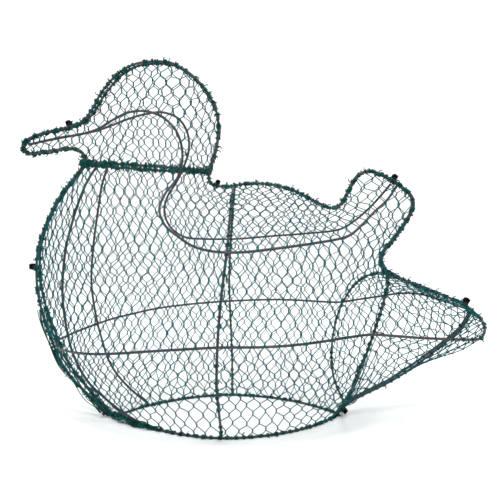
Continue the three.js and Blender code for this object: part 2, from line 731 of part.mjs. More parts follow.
function placeTie(mesh, curve, tie) {
  const samples = 1200;
  let best = 0;
  let least = Infinity;
  for (let i = 0; i <= samples; i += 1) {
    const p = curve.getPoint(i / samples);
    const distance = Math.hypot(p.x - tie.at[0], p.z - tie.at[1]);
    if (distance < least) {
      least = distance;
      best = i / samples;
    }
  }
  const point = curve.getPoint(best);
  const tangent = curve.getTangent(best).setY(0).normalize();
  const head = new THREE.Vector3(tie.head[0], 0, tie.head[1]);
  head.addScaledVector(tangent, -head.dot(tangent)).normalize();
  const across = new THREE.Vector3().crossVectors(tangent, head);
  mesh.geometry = tieGeometry(Math.abs(point.y), tie.headOnLeft);
  const turn = new THREE.Matrix4().makeBasis(head, across, tangent);
  mesh.quaternion.setFromRotationMatrix(turn);
  mesh.position.set(point.x, 0, point.z);
}

// Assembly

const duck = new THREE.Group();

function addPiece(name, geometry, material) {
  const mesh = new THREE.Mesh(geometry, material);
  mesh.name = name;
  duck.add(mesh);
  return mesh;
}

for (const side of [LEFT, RIGHT]) {
  const label = side === LEFT ? 'left' : 'right';
  const curves = rodCurves(side);
  for (const [name, curve] of Object.entries(curves)) {
    addPiece(`${name}_rod_${label}`, rodGeometry(curve), rodPaint);
  }
  const width = skinWidth(curves);
  const outwards = skinNormal(width, side);
  const body = raise(bodyPlan(curves), width, side);
  const head = raise(headPlan(curves), width, side);
  const seam = 11;
  const frontSheet = trimmed(columnsOf(body, 0, seam), false);
  const rearSheet = trimmed(columnsOf(body, seam, body[0].length - 1), true);
  addPiece(`net_body_${label}_front`, shellGeometry(frontSheet, side, outwards), netCoat);
  addPiece(`net_body_${label}_rear`, shellGeometry(rearSheet, side, outwards), netCoat);
  addPiece(`net_head_${label}`, shellGeometry(head, side, outwards), netCoat);
  addPiece(`net_bill_${label}`, shellGeometry(billGrid(curves, side), side), netCoat);
  const tail = tailGrids(curves, side);
  addPiece(`net_tail_${label}_upper`, shellGeometry(tail.upper, side), netCoat);
  addPiece(`net_tail_${label}_lower`, shellGeometry(tail.lower, side), netCoat);
  if (side === LEFT) {
    for (const tie of TIES) {
      placeTie(addPiece(tie.name, new THREE.BufferGeometry(), tieNylon), curves.outline, tie);
    }
  }
}

// The origin is the middle of the footprint box, on the ground.
const frame = new THREE.Group();
frame.add(duck);
duck.updateMatrixWorld(true);
const box = new THREE.Box3().setFromObject(duck, true);
duck.position.set(-(box.min.x + box.max.x) / 2, -(box.min.y + box.max.y) / 2, -box.min.z);

export default frame;
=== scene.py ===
import math
from collections import namedtuple

import bmesh
import bpy
import numpy as np
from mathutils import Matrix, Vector


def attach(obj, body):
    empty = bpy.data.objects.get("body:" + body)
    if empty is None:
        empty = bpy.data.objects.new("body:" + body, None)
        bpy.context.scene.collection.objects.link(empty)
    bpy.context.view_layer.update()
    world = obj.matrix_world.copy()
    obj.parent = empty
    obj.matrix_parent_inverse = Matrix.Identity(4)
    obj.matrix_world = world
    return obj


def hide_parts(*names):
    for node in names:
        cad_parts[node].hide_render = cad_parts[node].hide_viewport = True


bl_info = {
    "name": "Duck topiary frame",
    "version": (1, 0, 0),
    "blender": (4, 5, 0),
    "location": "3D Viewport > Sidebar > Duck frame",
    "description": "Builds the rods, netting, wound wire ends and cable ties of a duck topiary frame",
    "category": "Object",
}

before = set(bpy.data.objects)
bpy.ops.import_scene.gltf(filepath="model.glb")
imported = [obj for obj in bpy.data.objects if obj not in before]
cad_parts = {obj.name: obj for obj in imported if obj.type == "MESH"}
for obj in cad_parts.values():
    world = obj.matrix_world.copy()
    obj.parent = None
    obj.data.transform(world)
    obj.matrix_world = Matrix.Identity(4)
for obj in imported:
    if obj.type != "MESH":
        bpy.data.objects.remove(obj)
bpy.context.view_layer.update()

# Millimetres, with the duck's middle plane at Y = 0. Adding CAD_SHIFT moves a point into the frame.
CAD_SHIFT = np.array([1.3103, -0.2437, 0.0])
MM = 0.001
LEFT = -1
RIGHT = 1
SIDES = (LEFT, RIGHT)
LABEL = {LEFT: "left", RIGHT: "right"}

# Rod bends, each as [x, distance from the middle plane, z]

OUTLINE = [
    [-171, 3, 2], [-176, 4.1, 7], [-192, 6.7, 24], [-221, 8.8, 60], [-233, 9.8, 87], [-247, 7.8, 128],
    [-253, 6.2, 162], [-251.5, 4, 202], [-242, 2.8, 232], [-226, 3.2, 263], [-205, 3.7, 290],
    [-195.5, 4, 304], [-197, 3.9, 316], [-208, 3.7, 321.5], [-239, 3.3, 318], [-260, 3, 316],
    [-266, 3, 319], [-266.5, 3, 326], [-261, 3, 332], [-241, 2.8, 340], [-226, 2.8, 343],
    [-206, 3, 348], [-195, 3.7, 353.5], [-186, 5, 363], [-170, 6.9, 388], [-150, 5.8, 409],
    [-133, 5.1, 418], [-112, 4.8, 421], [-91, 4.7, 419.5], [-73, 4.8, 410], [-57, 4.8, 395.5],
    [-41, 4.9, 370], [-37, 4.5, 347], [-40, 3.9, 320], [-48.5, 3.4, 293], [-46.5, 3.1, 281.5],
    [-31, 2.8, 277.3], [-1, 2.8, 281], [24, 3, 280], [51, 3.6, 273], [83, 4.3, 257],
    [97, 4.5, 252], [107.5, 4.7, 256], [114.5, 4.9, 268], [126, 5, 289], [136, 5, 295],
    [152, 5, 292.5], [183, 3.2, 274], [192, 2.9, 264], [193, 3.1, 252], [172, 4, 216],
    [159, 4, 200], [156, 4, 191], [159.5, 4, 180], [183, 3.7, 167], [207, 3.4, 157],
    [243, 2.9, 143], [260, 2.8, 135], [264, 2.8, 129], [255, 2.9, 110], [235, 3.3, 91],
    [195, 4, 60], [167, 3.6, 42], [134, 3.2, 25], [116, 3, 14], [106, 3, 3],
]
WING = {
    LEFT: [
        [-260, 2, 326], [-239, 2, 331], [-219, 2.3, 335], [-198, 3, 338], [-178, 4, 344], [-159, 11, 353],
        [-138, 21, 360], [-117, 29, 360], [-98, 34, 353], [-83, 38, 339], [-76, 38, 321], [-76, 34, 303],
        [-82, 35, 284], [-93, 43, 269], [-99, 52, 251], [-92, 63, 234], [-76, 77, 222], [-59, 94, 213],
        [-40, 111, 209], [-22, 124, 208.5], [-6, 128, 209], [28, 129, 213], [62, 119, 217], [101, 90, 223],
        [119, 70, 234], [136, 49, 247], [156, 26, 261], [173, 4, 278],
    ],
    RIGHT: [
        [-261, 2, 327], [-241, 2, 331], [-221, 2.3, 335], [-201, 3, 339], [-182, 4, 343], [-164, 11, 351],
        [-147, 21, 360], [-128, 29, 367], [-108, 34, 370], [-89, 37, 363], [-78, 38, 346], [-76, 35, 324],
        [-82, 34, 304], [-92, 39, 285], [-105, 49, 267], [-111, 60, 246], [-104, 72, 226], [-87, 89, 213],
        [-65, 106, 210], [-42, 119.5, 209], [-18, 128, 209], [31, 129, 213], [79, 119, 217],
        [122, 90, 224], [138, 70, 236], [151, 49, 251], [160, 26, 266], [167, 4, 280],
    ],
}
BELLY_PLAN = [
    [-232, 1.8], [-226, 20], [-216, 39], [-202, 57], [-184, 74], [-162, 90], [-135, 106], [-105, 119],
    [-70, 130], [-30, 137], [5, 139], [36, 136], [66, 126], [98, 110], [124, 101], [150, 100.5],
    [178, 101.5], [206, 103], [224, 103], [234, 101.5], [240, 97.5], [245, 87], [252, 63],
    [258.5, 28], [264, 4],
]
BELLY_HEIGHT = {
    LEFT: [
        [-232, 91], [-172, 98], [-103, 110], [-45, 118], [39, 120], [124, 122.7], [178, 119.2],
        [226, 118], [234, 118.5], [245, 127], [252, 130.3], [264, 131],
    ],
    RIGHT: [
        [-232, 93], [-188, 104], [-127, 113], [-57, 117], [56, 121], [124, 122.4], [165, 128.5],
        [210, 134.7], [230, 134.7], [240, 133], [264, 130],
    ],
}
MID_HOOP = {
    LEFT: [
        [-19, 4, 278.5], [-19.3, 20, 274], [-20.2, 78, 251], [-21, 105, 232], [-22, 116.5, 214],
        [-24, 125, 196], [-28, 133, 162], [-31, 133, 124], [-33, 122, 84], [-33, 110, 60],
        [-32, 93, 34], [-31, 71, 3],
    ],
    RIGHT: [
        [-19, 4, 278.5], [-20, 20, 274], [-23, 78, 251], [-25, 105, 232], [-26.6, 117.7, 214],
        [-27.6, 125.5, 199], [-30, 134, 152], [-29, 130, 114], [-27, 119, 78], [-26, 111, 61],
        [-25, 101, 44], [-24, 71, 3],
    ],
}
BREAST = {
    LEFT: [
        [-172, 21, 304], [-184, 32, 280], [-191, 42, 256], [-197, 49, 231], [-202, 53.5, 206],
        [-206, 55, 155], [-200, 54, 104], [-193, 51, 79], [-182, 44, 54], [-165, 37, 33],
        [-146, 33, 15], [-127, 31.5, 2.8],
    ],
    RIGHT: [
        [-173, 21, 304], [-184, 32, 280], [-191, 42, 256], [-197, 49, 231], [-202, 53.5, 205],
        [-206, 55, 154], [-199, 54, 103], [-192, 51, 79], [-183, 45, 56], [-168, 38, 36],
        [-150, 34, 19], [-129, 31, 2.8],
    ],
}
TAIL_HOOP = {
    LEFT: [
        [163, 5, 175], [153, 46, 166], [146, 66, 158], [140, 79, 149], [135, 87, 140], [127, 94.5, 121],
        [120, 95.5, 101], [116, 94, 91], [111, 82, 67], [108.5, 64, 47], [109, 40, 32], [114, 4, 16],
    ],
    RIGHT: [
        [162, 5, 175], [155, 37, 169], [147, 64, 160], [139, 82, 147], [132, 90.5, 133],
        [125, 95, 117], [120, 95.5, 102], [116, 93, 87], [110, 76, 59], [108, 45, 36], [110, 27, 27],
        [114, 4, 17],
    ],
}
BASE_PLAN = [
    [-168, 3], [-156, 4.5], [-148, 11], [-140, 20.5], [-128, 31], [-102, 48], [-70, 62.5],
    [-31, 70.5], [10, 65.6], [45, 52.9], [75, 34.2], [95, 15.5], [106, 3],
]
COLLAR = {"front": -196, "rear": -49.5, "end": 3, "spread": 31, "front_z": 304, "rear_z": 295, "bends": 17}

# Places on the outline rods in side view, each as (x, z)

BASE_FRONT = (-171, 2)
COLLAR_FRONT = (-196, 303)
HEAD_FRONT = (-195.5, 305)
HEAD_REAR = (-48.5, 294)
NAPE = (-46, 281)
WING_TIP_REAR = (170, 213.5)
TAIL_FRONT = (160, 179)
TAIL_END = (264, 129)
TAIL_UNDER = (116, 14)

# Edges of the body netting that no rod gives, in side view: at the collar, the base and above the tail
COLLAR_EDGE = [[-194, 303.5], [-50, 294.5]]
BRIDGE_EDGE = [[168, 211], [162, 197], [162, 181]]
BASE_EDGE = [[112, 1.4], [-168, 1.4]]

# The body skin. How roundly it closes at the outline: 1 is straight like taut netting, 2 is an ellipse.
SKIN_POWER = 1.45
# The distance between the points that it takes from each rod, and how far outside the rod it lies there
SKIN_STEP = {
    "outline": 20, "wing": 30, "belly": 34, "mid_hoop": 34, "breast": 34, "tail_hoop": 30, "base": 34,
}
SKIN_CLEARANCE = {"wing": 1.9, "belly": 1.9, "mid_hoop": 4.4, "breast": 3.2, "tail_hoop": 2.5}
# The bill's middle line, and the stations where the flank between wing and belly rod is held straight
BILL_MIDDLE = ((-216, 333), (-232, 330.5), (-248, 327))
BILL_HALF_WIDTH = 6.5
FLANK_STATIONS = (-64, 14, 40, 66, 92)
FLANK_CLEARANCE = 3
SHOULDER_HEIGHT = 225
LEAST_HALF_WIDTH = 2.4
SAMPLE_GAP = 5
SKIN_UNIT = 100

# The tail: where its fan starts and the height below which rods belong to it, the height of the tail
# hoop's widest place, how its skins are sampled, and how far its netting stops from the middle plane
FAN_FRONT = 124
TAIL_TOP = 178
TAIL_MIDDLE = 122
TAIL_STEP = 16
TAIL_CLEARANCE = 1.8
TAIL_RIDGE_GAP = 5.5
# How far the netting under the tail hangs below a straight line: [x, distance from the middle plane, sag].
TAIL_SAG = [[229, 80, 6.5], [213, 60, 10], [192, 50, 8], [165, 45, 2]]

# The netting: points in a twist, how far its two wires stand from their middle in wire radii, how much the
# knots differ, and the lengths of the slow waves that the rows follow
TWIST_POINTS = 6
TWIST_SPREAD = 1.05
KNOT_LEAN = 0.05
KNOT_STRETCH = 0.12
WAVE_LENGTHS = (170.0, 95.0, 61.0)
WAVE_RATIO = 1.13
SHORTEST_WIRE = 3
# The body sheets' seam follows the mid hoop up to this height
SEAM_TOP = 300
# How far the body netting is pulled open along and up the sheet: near the base, at the neck up to the
# collar, over the back, at the wing tip, and the last two together as the top
PULL_ALONG = {"base": 0.16, "back": 0.12, "tip": 0.44}
PULL_UP = {"base": 0.42, "neck": 0.27, "top": 0.28}
# The spots in the plane of each sheet from which lengths along its netting are measured
BODY_ORIGINS = {"front": (-100, 118), "rear": (125, 118)}
HEAD_ORIGIN = (-110, 350)
TAIL_ORIGIN = (190, 60)

# Round pieces: sides of each tube, and the distance between points along a path
ROD_SIDES = 14
WIRE_SIDES = 5
STRAND_SIDES = 4
PATH_STEP = 3.0

# Cut wire ends wound round a rod in short coils, and wires laid loosely along a rod. Spacing, loose end,
# spread and turn length are lengths, gaps is the share of coils left out, seed is added to the side's own,
# and width is how wide the coil is against the rod.
Coils = namedtuple("Coils", "spacing gaps loose_end loose_share seed turns width", defaults=(2.4, 1.0))
Strands = namedtuple("Strands", "count spread seed turn_length", defaults=(45,))
FIRST_SEED = {LEFT: 100, RIGHT: 500}
# A coil's length for each turn, the sides and steps of its wire, its last radius against its first, and
# its least and greatest random size
COIL_RISE = 1.15
COIL_SIDES = 4
COIL_STEPS = 7
COIL_FLARE = 1.16
COIL_SIZES = ((0.94, 0.94, 0.6), (1.14, 1.14, 1.35))
FULL_TURN = 6.2832
# A coil's loose end, in metres: how far back it starts, its bend's offsets, and its rise against its length
LOOSE_STEPS = 3
LOOSE_START = -0.001
LOOSE_BEND = (0.0006, 0.0004)
LOOSE_RISE = 0.8
OUTLINE_COILS = (
    Coils(12.4, 0.15, 2.6, 0.7, 0, 3.4, 1.04),
    Coils(6.9, 0.55, 2.8, 0.6, 1, 1.3, 1.3),
    Coils(5.3, 0.4, 2.2, 0.3, 2, 1.6, 0.98),
)
UNDER_TAIL_COILS = Coils(9.5, 0.3, 2.0, 0.4, 3, 2.2)
COLLAR_COILS = (
    Coils(5.2, 0.25, 2.6, 0.7, 10, 2.2, 1.05),
    Coils(6.1, 0.35, 2.8, 0.9, 11, 1.7, 1.5),
    Coils(9.7, 0.4, 3.2, 0.9, 13, 1.3, 2.0),
)
COLLAR_STRANDS = Strands(2, 2.4, 12, 24)
COLLAR_FRONT_COILS = Coils(5.9, 0.4, 2.6, 0.8, 14, 1.5, 1.6)
COLLAR_FRONT_STRETCH = ((-196, 304), (-130, 300))
BASE_COILS = (Coils(9.0, 0.15, 2.4, 0.6, 20, 3.0, 1.05), Coils(6.4, 0.5, 2.6, 0.4, 21, 1.4))
TAIL_HOOP_COILS = {LEFT: Coils(6.5, 0.2, 2.4, 0.4, 30), RIGHT: Coils(8.5, 0.2, 2.4, 0.4, 30)}
MID_HOOP_COILS = {LEFT: Coils(10.0, 0.35, 2.0, 0.3, 40, 1.8), RIGHT: Coils(7.0, 0.2, 2.0, 0.3, 40, 1.8)}
TAIL_FAN_COILS = Coils(9.5, 0.35, 2.2, 0.5, 50, 1.7)
TAIL_FAN_FRONT = 205
# Strands along the outline, each between two places in side view: the breast's are moved out from the rod
BREAST_STRETCH = ((-248, 132), (-176, 8))
BREAST_OUT = (-2.2, 0, -1.4)
BREAST_STRANDS = Strands(6, 3.2, 4, 110)
CORNER_STRANDS = (
    (((-200, 36), (-174, 6)), Strands(3, 3.0, 5)),
    (((159, 186), (178, 169)), Strands(3, 2.4, 6)),
    (((128, 21), (109, 7)), Strands(3, 2.8, 7)),
)
# The near front corner, where the cut ends of the netting are gathered beside the base rod
GATHERED_ENDS = (
    ([[-174, 5, 6], [-166, 10.5, 4], [-148.5, 26, 3.4], [-127.5, 39.3, 3.2], [-100, 49.5, 3]],
     Strands(9, 3.0, 22, 34)),
    ([[-172, 4, 5], [-157, 8, 4.4], [-146, 17, 4.2], [-134, 30, 3.8], [-112, 43.5, 3.2]],
     Strands(6, 2.8, 23, 34)),
)
# How strands waver: step, a full turn in radians, a direction that no strand follows, the waves of their
# angle and radius, and the least height
STRAND_STEP = 5.0
STRAND_TURN = 6.28
OFF_STRAND = (0.3, 1.0, 0.2)
ANGLE_WAVE = (0.7, 31)
RADIUS_WAVE = (0.35, 23)
RADIUS_SHARE = 0.8
STRAND_FLOOR = 0.6

# Cable ties: a point on the outline near each, which way its head points in side view, and the head's
# length and width. The head of the front base tie sits on its left end instead.
TIES = {
    "tie_bill": ((-212, 346.6), (0.25, 1.0), 4.8, 4.3),
    "tie_breast": ((-252.7, 182), (-1.0, 0.0), 6.6, 4.8),
    "tie_nape": ((-38.5, 279), (-0.1, 1.0), 3.6, 3.4),
    "tie_wing_tip": ((168, 283.5), (0.5, 0.86), 4.8, 4.6),
    "tie_tail": ((257, 137), (0.38, 0.92), 5.0, 4.6),
    "tie_base_rear": ((111.5, 9), (0.6, -0.8), 4.8, 4.4),
    "tie_base_front": ((-174.5, 7), (-0.6, -0.8), 4.6, 4.2),
}
HEAD_ON_LEFT = ("tie_base_front",)
STRAP = {"gap": 0.5, "thick": 1.1, "wide": 2.6, "chamfer": 0.25, "bend_steps": 12}
# The head's block and the small cap on it: where each starts and ends, its half width and half length
TIE_BLOCK = {"sink": 0.2, "half_across": 2.7, "half_share": 1 / 2}
TIE_CAP = {"sink": 0.4, "rise": 0.9, "half_across": 1.4, "half_share": 1 / 4}
TIE_BEVEL = 0.0009

# The patchy coat: the noise values where the patches and the scuffs start and are full, how much rougher
# the light patches are, and the strength of the bumps
PATCH_RANGE = (0.32, 0.68)
SCUFF_START = 0.74
SCUFF_FULL = 0.78
PATCH_ROUGHNESS = 0.16
BUMP_STRENGTH = 0.35

# Camera, lights and floor: places and sizes in metres, the sensor in millimetres, the tilt in degrees
# and the lights in watts
PHOTO_PIXELS = 500
FOCAL_PIXELS = 546
SENSOR_WIDTH = 36
CAMERA_PLACE = (0.0013103, -0.6502234, 0.248)
CAMERA_TILT = 90 - 4.04
CAMERA_REACH = 50
WORLD_STRENGTH = 1.13
LIGHTS = {"light_top": ((0.1, -0.7, 1.3), 9.0), "light_left": ((-1.3, -1.0, 0.8), 5.0)}
LIGHT_SIZE = 0.25
LIGHT_TARGET = (0, 0, 0.2)
FLOOR_HALF = 14.0
FLOOR_COLOUR = (0.93, 0.95, 0.95, 1)


# Curves


def spline(points, steps=14):
    """Centripetal curve through the points, as the CAD rods follow."""
    points = np.asarray(points, float)
    out = []

    def gap(a, b):
        return max(np.sum((a - b) ** 2) ** 0.25, 1e-4)

    for i in range(len(points) - 1):
        b, c = points[i], points[i + 1]
        a = points[i - 1] if i > 0 else 2 * b - c
        d = points[i + 2] if i + 2 < len(points) else 2 * c - b
        t0, t1, t2 = gap(a, b), gap(b, c), gap(c, d)
        m1 = ((b - a) / t0 - (c - a) / (t0 + t1) + (c - b) / t1) * t1
        m2 = ((c - b) / t1 - (d - b) / (t1 + t2) + (d - c) / t2) * t1
        t = (np.arange(steps) / steps)[:, None]
        out.append(
            (2 * t**3 - 3 * t**2 + 1) * b + (t**3 - 2 * t**2 + t) * m1
            + (3 * t**2 - 2 * t**3) * c + (t**3 - t**2) * m2
        )
    out.append(points[-1:])
    return np.concatenate(out)


def evenly(path, step):
    """The path resampled to nearly equal steps."""
    lengths = np.concatenate([[0], np.cumsum(np.linalg.norm(np.diff(path, axis=0), axis=1))])
    count = max(2, int(round(lengths[-1] / step)))
    wanted = np.linspace(0, lengths[-1], count + 1)
    return np.stack([np.interp(wanted, lengths, path[:, k]) for k in range(path.shape[1])], -1)


def sided_spline(points, side):
    """Curve through bends that are given by their distance from the middle plane."""
    points = np.array(points, float)
    points[:, 1] *= side
    return spline(points)


def rod_radius():
    """Radius in millimetres, rounded because Blender keeps the diameter in single precision."""
    return round(settings().rod_diameter / 2 / MM, 6)


def belly_bends(side):
    heights = np.array(BELLY_HEIGHT[side], float)
    return [[x, spread, np.interp(x, heights[:, 0], heights[:, 1])] for x, spread in BELLY_PLAN]


def collar_bends():
    angles = np.linspace(0, math.pi, COLLAR["bends"])
    middle = (COLLAR["front"] + COLLAR["rear"]) / 2
    half = (COLLAR["rear"] - COLLAR["front"]) / 2
    share = (1 - np.cos(angles)) / 2
    return np.stack([
        middle - half * np.cos(angles),
        COLLAR["end"] + COLLAR["spread"] * np.sin(angles),
        COLLAR["front_z"] + (COLLAR["rear_z"] - COLLAR["front_z"]) * share,
    ], -1)


def rod_paths(side):
    """Centre lines of one side's rods. The base rod lies on the ground."""
    bends = {
        "outline": OUTLINE,
        "wing": WING[side],
        "belly": belly_bends(side),
        "mid_hoop": MID_HOOP[side],
        "breast": BREAST[side],
        "tail_hoop": TAIL_HOOP[side],
        "base": [[x, spread, rod_radius()] for x, spread in BASE_PLAN],
        "collar": collar_bends(),
    }
    return {name: sided_spline(points, side) for name, points in bends.items()}


def part_of(path, start, end):
    """The stretch of a path between the points nearest two spots, each given in side view as (x, z)."""
    def nearest(spot):
        return int(np.argmin(np.hypot(path[:, 0] - spot[0], path[:, 2] - spot[1])))

    a, b = nearest(start), nearest(end)
    return path[a : b + 1] if a <= b else path[b : a + 1][::-1]


def side_view(path):
    return path[:, [0, 2]]


# Skins that the netting is stretched over


def plate_bend(squares):
    return np.where(squares > 1e-9, 0.5 * squares * np.log(np.maximum(squares, 1e-9)), 0.0)


class Plate:
    """Thin-plate surface through the last value of each sample, over its first two."""

    def __init__(self, samples, stiffness=2e-4):
        self.points = samples[:, :2] / SKIN_UNIT
        n = len(samples)
        gaps = ((self.points[:, None, :] - self.points[None, :, :]) ** 2).sum(-1)
        matrix = np.zeros((n + 3, n + 3))
        matrix[:n, :n] = plate_bend(gaps) + stiffness * np.eye(n)
        matrix[:n, n] = matrix[n, :n] = 1
        matrix[:n, n + 1 :] = self.points
        matrix[n + 1 :, :n] = self.points.T
        self.weights = np.linalg.solve(matrix, np.concatenate([samples[:, 2], np.zeros(3)]))

    def __call__(self, a, b):
        a, b = a / SKIN_UNIT, b / SKIN_UNIT
        total = self.weights[-3] + self.weights[-2] * a + self.weights[-1] * b
        for (pa, pb), weight in zip(self.points, self.weights[:-3]):
            total = total + weight * plate_bend((pa - a) ** 2 + (pb - b) ** 2)
        return total


def thinned(samples):
    """Leaves out samples that lie too close to an earlier one, and puts the values in the skin's unit."""
    kept = []
    for sample in samples:
        if all(math.hypot(sample[0] - k[0], sample[1] - k[1]) >= SAMPLE_GAP for k in kept):
            kept.append(sample)
    kept = np.array(kept)
    kept[:, 2] /= SKIN_UNIT
    return kept


def body_skin(rods):
    """Half-width of body, head and bill over the side view (x, z)."""
    samples = []
    for name, step in SKIN_STEP.items():
        for x, y, z in evenly(rods[name], step):
            on_tail = name in ("belly", "outline") and x > FAN_FRONT and z < TAIL_TOP
            if not on_tail:
                samples.append((x, z, abs(y) + SKIN_CLEARANCE.get(name, 0)))
    samples += [(x, z, BILL_HALF_WIDTH) for x, z in BILL_MIDDLE]
    wing = rods["wing"][rods["wing"][:, 2] < SHOULDER_HEIGHT]
    belly = rods["belly"]
    for x in FLANK_STATIONS:
        upper = wing[np.argmin(np.abs(wing[:, 0] - x))]
        lower = belly[np.argmin(np.abs(belly[:, 0] - x))]
        between = (upper + lower) / 2
        samples.append((between[0], between[2], abs(between[1]) + FLANK_CLEARANCE))
    samples = thinned(samples)
    samples[:, 2] **= SKIN_POWER
    widths = Plate(samples)
    least = (LEAST_HALF_WIDTH / SKIN_UNIT) ** SKIN_POWER
    return lambda x, z: SKIN_UNIT * np.maximum(widths(x, z), least) ** (1 / SKIN_POWER)


def tail_edges(rods, upper):
    """Edges of a tail panel: the outline's ridge, the tail hoop's ring and the belly rod's fan."""
    outline, belly, hoop = rods["outline"], rods["belly"], rods["tail_hoop"]
    crossing = int(np.argmin(np.abs(hoop[:, 2] - TAIL_MIDDLE)))
    fan = belly[belly[:, 0] > FAN_FRONT]
    if upper:
        return part_of(outline, TAIL_FRONT, TAIL_END), hoop[: crossing + 1], fan
    return part_of(outline, TAIL_END, TAIL_UNDER), hoop[crossing:], fan


def tail_skin(rods, upper):
    """Height of a tail panel over the plan (x, distance from the middle plane), outwards from the tail."""
    ridge, ring, fan = tail_edges(rods, upper)
    out = 1 if upper else -1
    lift = out * TAIL_CLEARANCE
    samples = [(x, abs(y), z + lift) for path in (ridge, fan, ring) for x, y, z in evenly(path, TAIL_STEP)]
    if not upper:
        for x, spread, sag in TAIL_SAG:
            low = float(np.interp(x, ridge[::-1, 0], ridge[::-1, 2]))
            near = fan[np.argmin(np.abs(fan[:, 0] - x))]
            samples.append((x, spread, low + (near[2] - low) * spread / abs(near[1]) - sag))
    surface = Plate(thinned(samples))
    return lambda a, b: out * SKIN_UNIT * surface(a, b)


# Outlines of the netting sheets


def inside(polygon, a, b):
    """Which points (a, b) lie inside a closed polygon."""
    result = np.zeros(np.shape(a), bool)
    ends = np.roll(polygon, -1, axis=0)
    for (a0, b0), (a1, b1) in zip(polygon, ends):
        if b0 == b1:
            continue
        crosses = (b0 > b) != (b1 > b)
        result ^= crosses & (a < (a1 - a0) * (b - b0) / (b1 - b0) + a0)
    return result


def cut(polygon, keep):
    """The part of a polygon on one side of a line given as a function of (a, b), positive to keep."""
    result = []
    ends = np.roll(polygon, -1, axis=0)
    for p, q in zip(polygon, ends):
        fp, fq = keep(*p), keep(*q)
        if fp >= 0:
            result.append(p)
        if (fp >= 0) != (fq >= 0):
            result.append(p + (q - p) * fp / (fp - fq))
    return np.array(result)


def body_polygon(rods, part):
    """Edge of the front or rear body sheet in side view. The two meet at the mid hoop."""
    outline = rods["outline"]
    whole = np.concatenate([
        side_view(part_of(outline, BASE_FRONT, COLLAR_FRONT)),
        COLLAR_EDGE,
        side_view(part_of(outline, NAPE, WING_TIP_REAR)),
        BRIDGE_EDGE,
        side_view(rods["tail_hoop"]),
        BASE_EDGE,
    ])
    seam = side_view(rods["mid_hoop"])[::-1]
    heights = np.arange(SEAM_TOP)
    seam_x = np.interp(heights, seam[:, 1], seam[:, 0])
    way = -1 if part == "front" else 1
    return cut(whole, lambda x, z: way * (x - np.interp(z, heights, seam_x)))


def head_polygon(rods):
    return side_view(part_of(rods["outline"], HEAD_FRONT, HEAD_REAR))


def tail_polygon(rods, upper):
    ridge, ring, fan = tail_edges(rods, upper)
    parts = [ridge[1:], fan[::-1], ring[::-1]] if upper else [ridge, ring[::-1], fan]
    loop = np.abs(np.concatenate(parts)[:, :2])
    loop[:, 1] = np.maximum(loop[:, 1], TAIL_RIDGE_GAP)
    return loop


def eased(value, start, over):
    """Grows smoothly from 0 at the start to 1 over a length, which is negative to grow the other way."""
    share = np.clip((value - start) / over, 0, 1)
    return share * share * (3 - 2 * share)


def body_slack(x, z):
    """How much less netting than surface there is along and up the body sheets."""
    base = eased(z, start=75, over=-60)
    neck = eased(z, start=170, over=60) * eased(x, start=-30, over=-40)
    back = eased(z, start=215, over=30) * eased(x, start=-60, over=50)
    tip = eased(x, start=60, over=50) * eased(z, start=150, over=40)
    along = 1 - PULL_ALONG["base"] * base - PULL_ALONG["tip"] * tip - PULL_ALONG["back"] * back * (1 - tip)
    up = 1 - PULL_UP["base"] * base - PULL_UP["neck"] * neck - PULL_UP["top"] * np.maximum(back, tip)
    return along, up


# Hexagonal netting


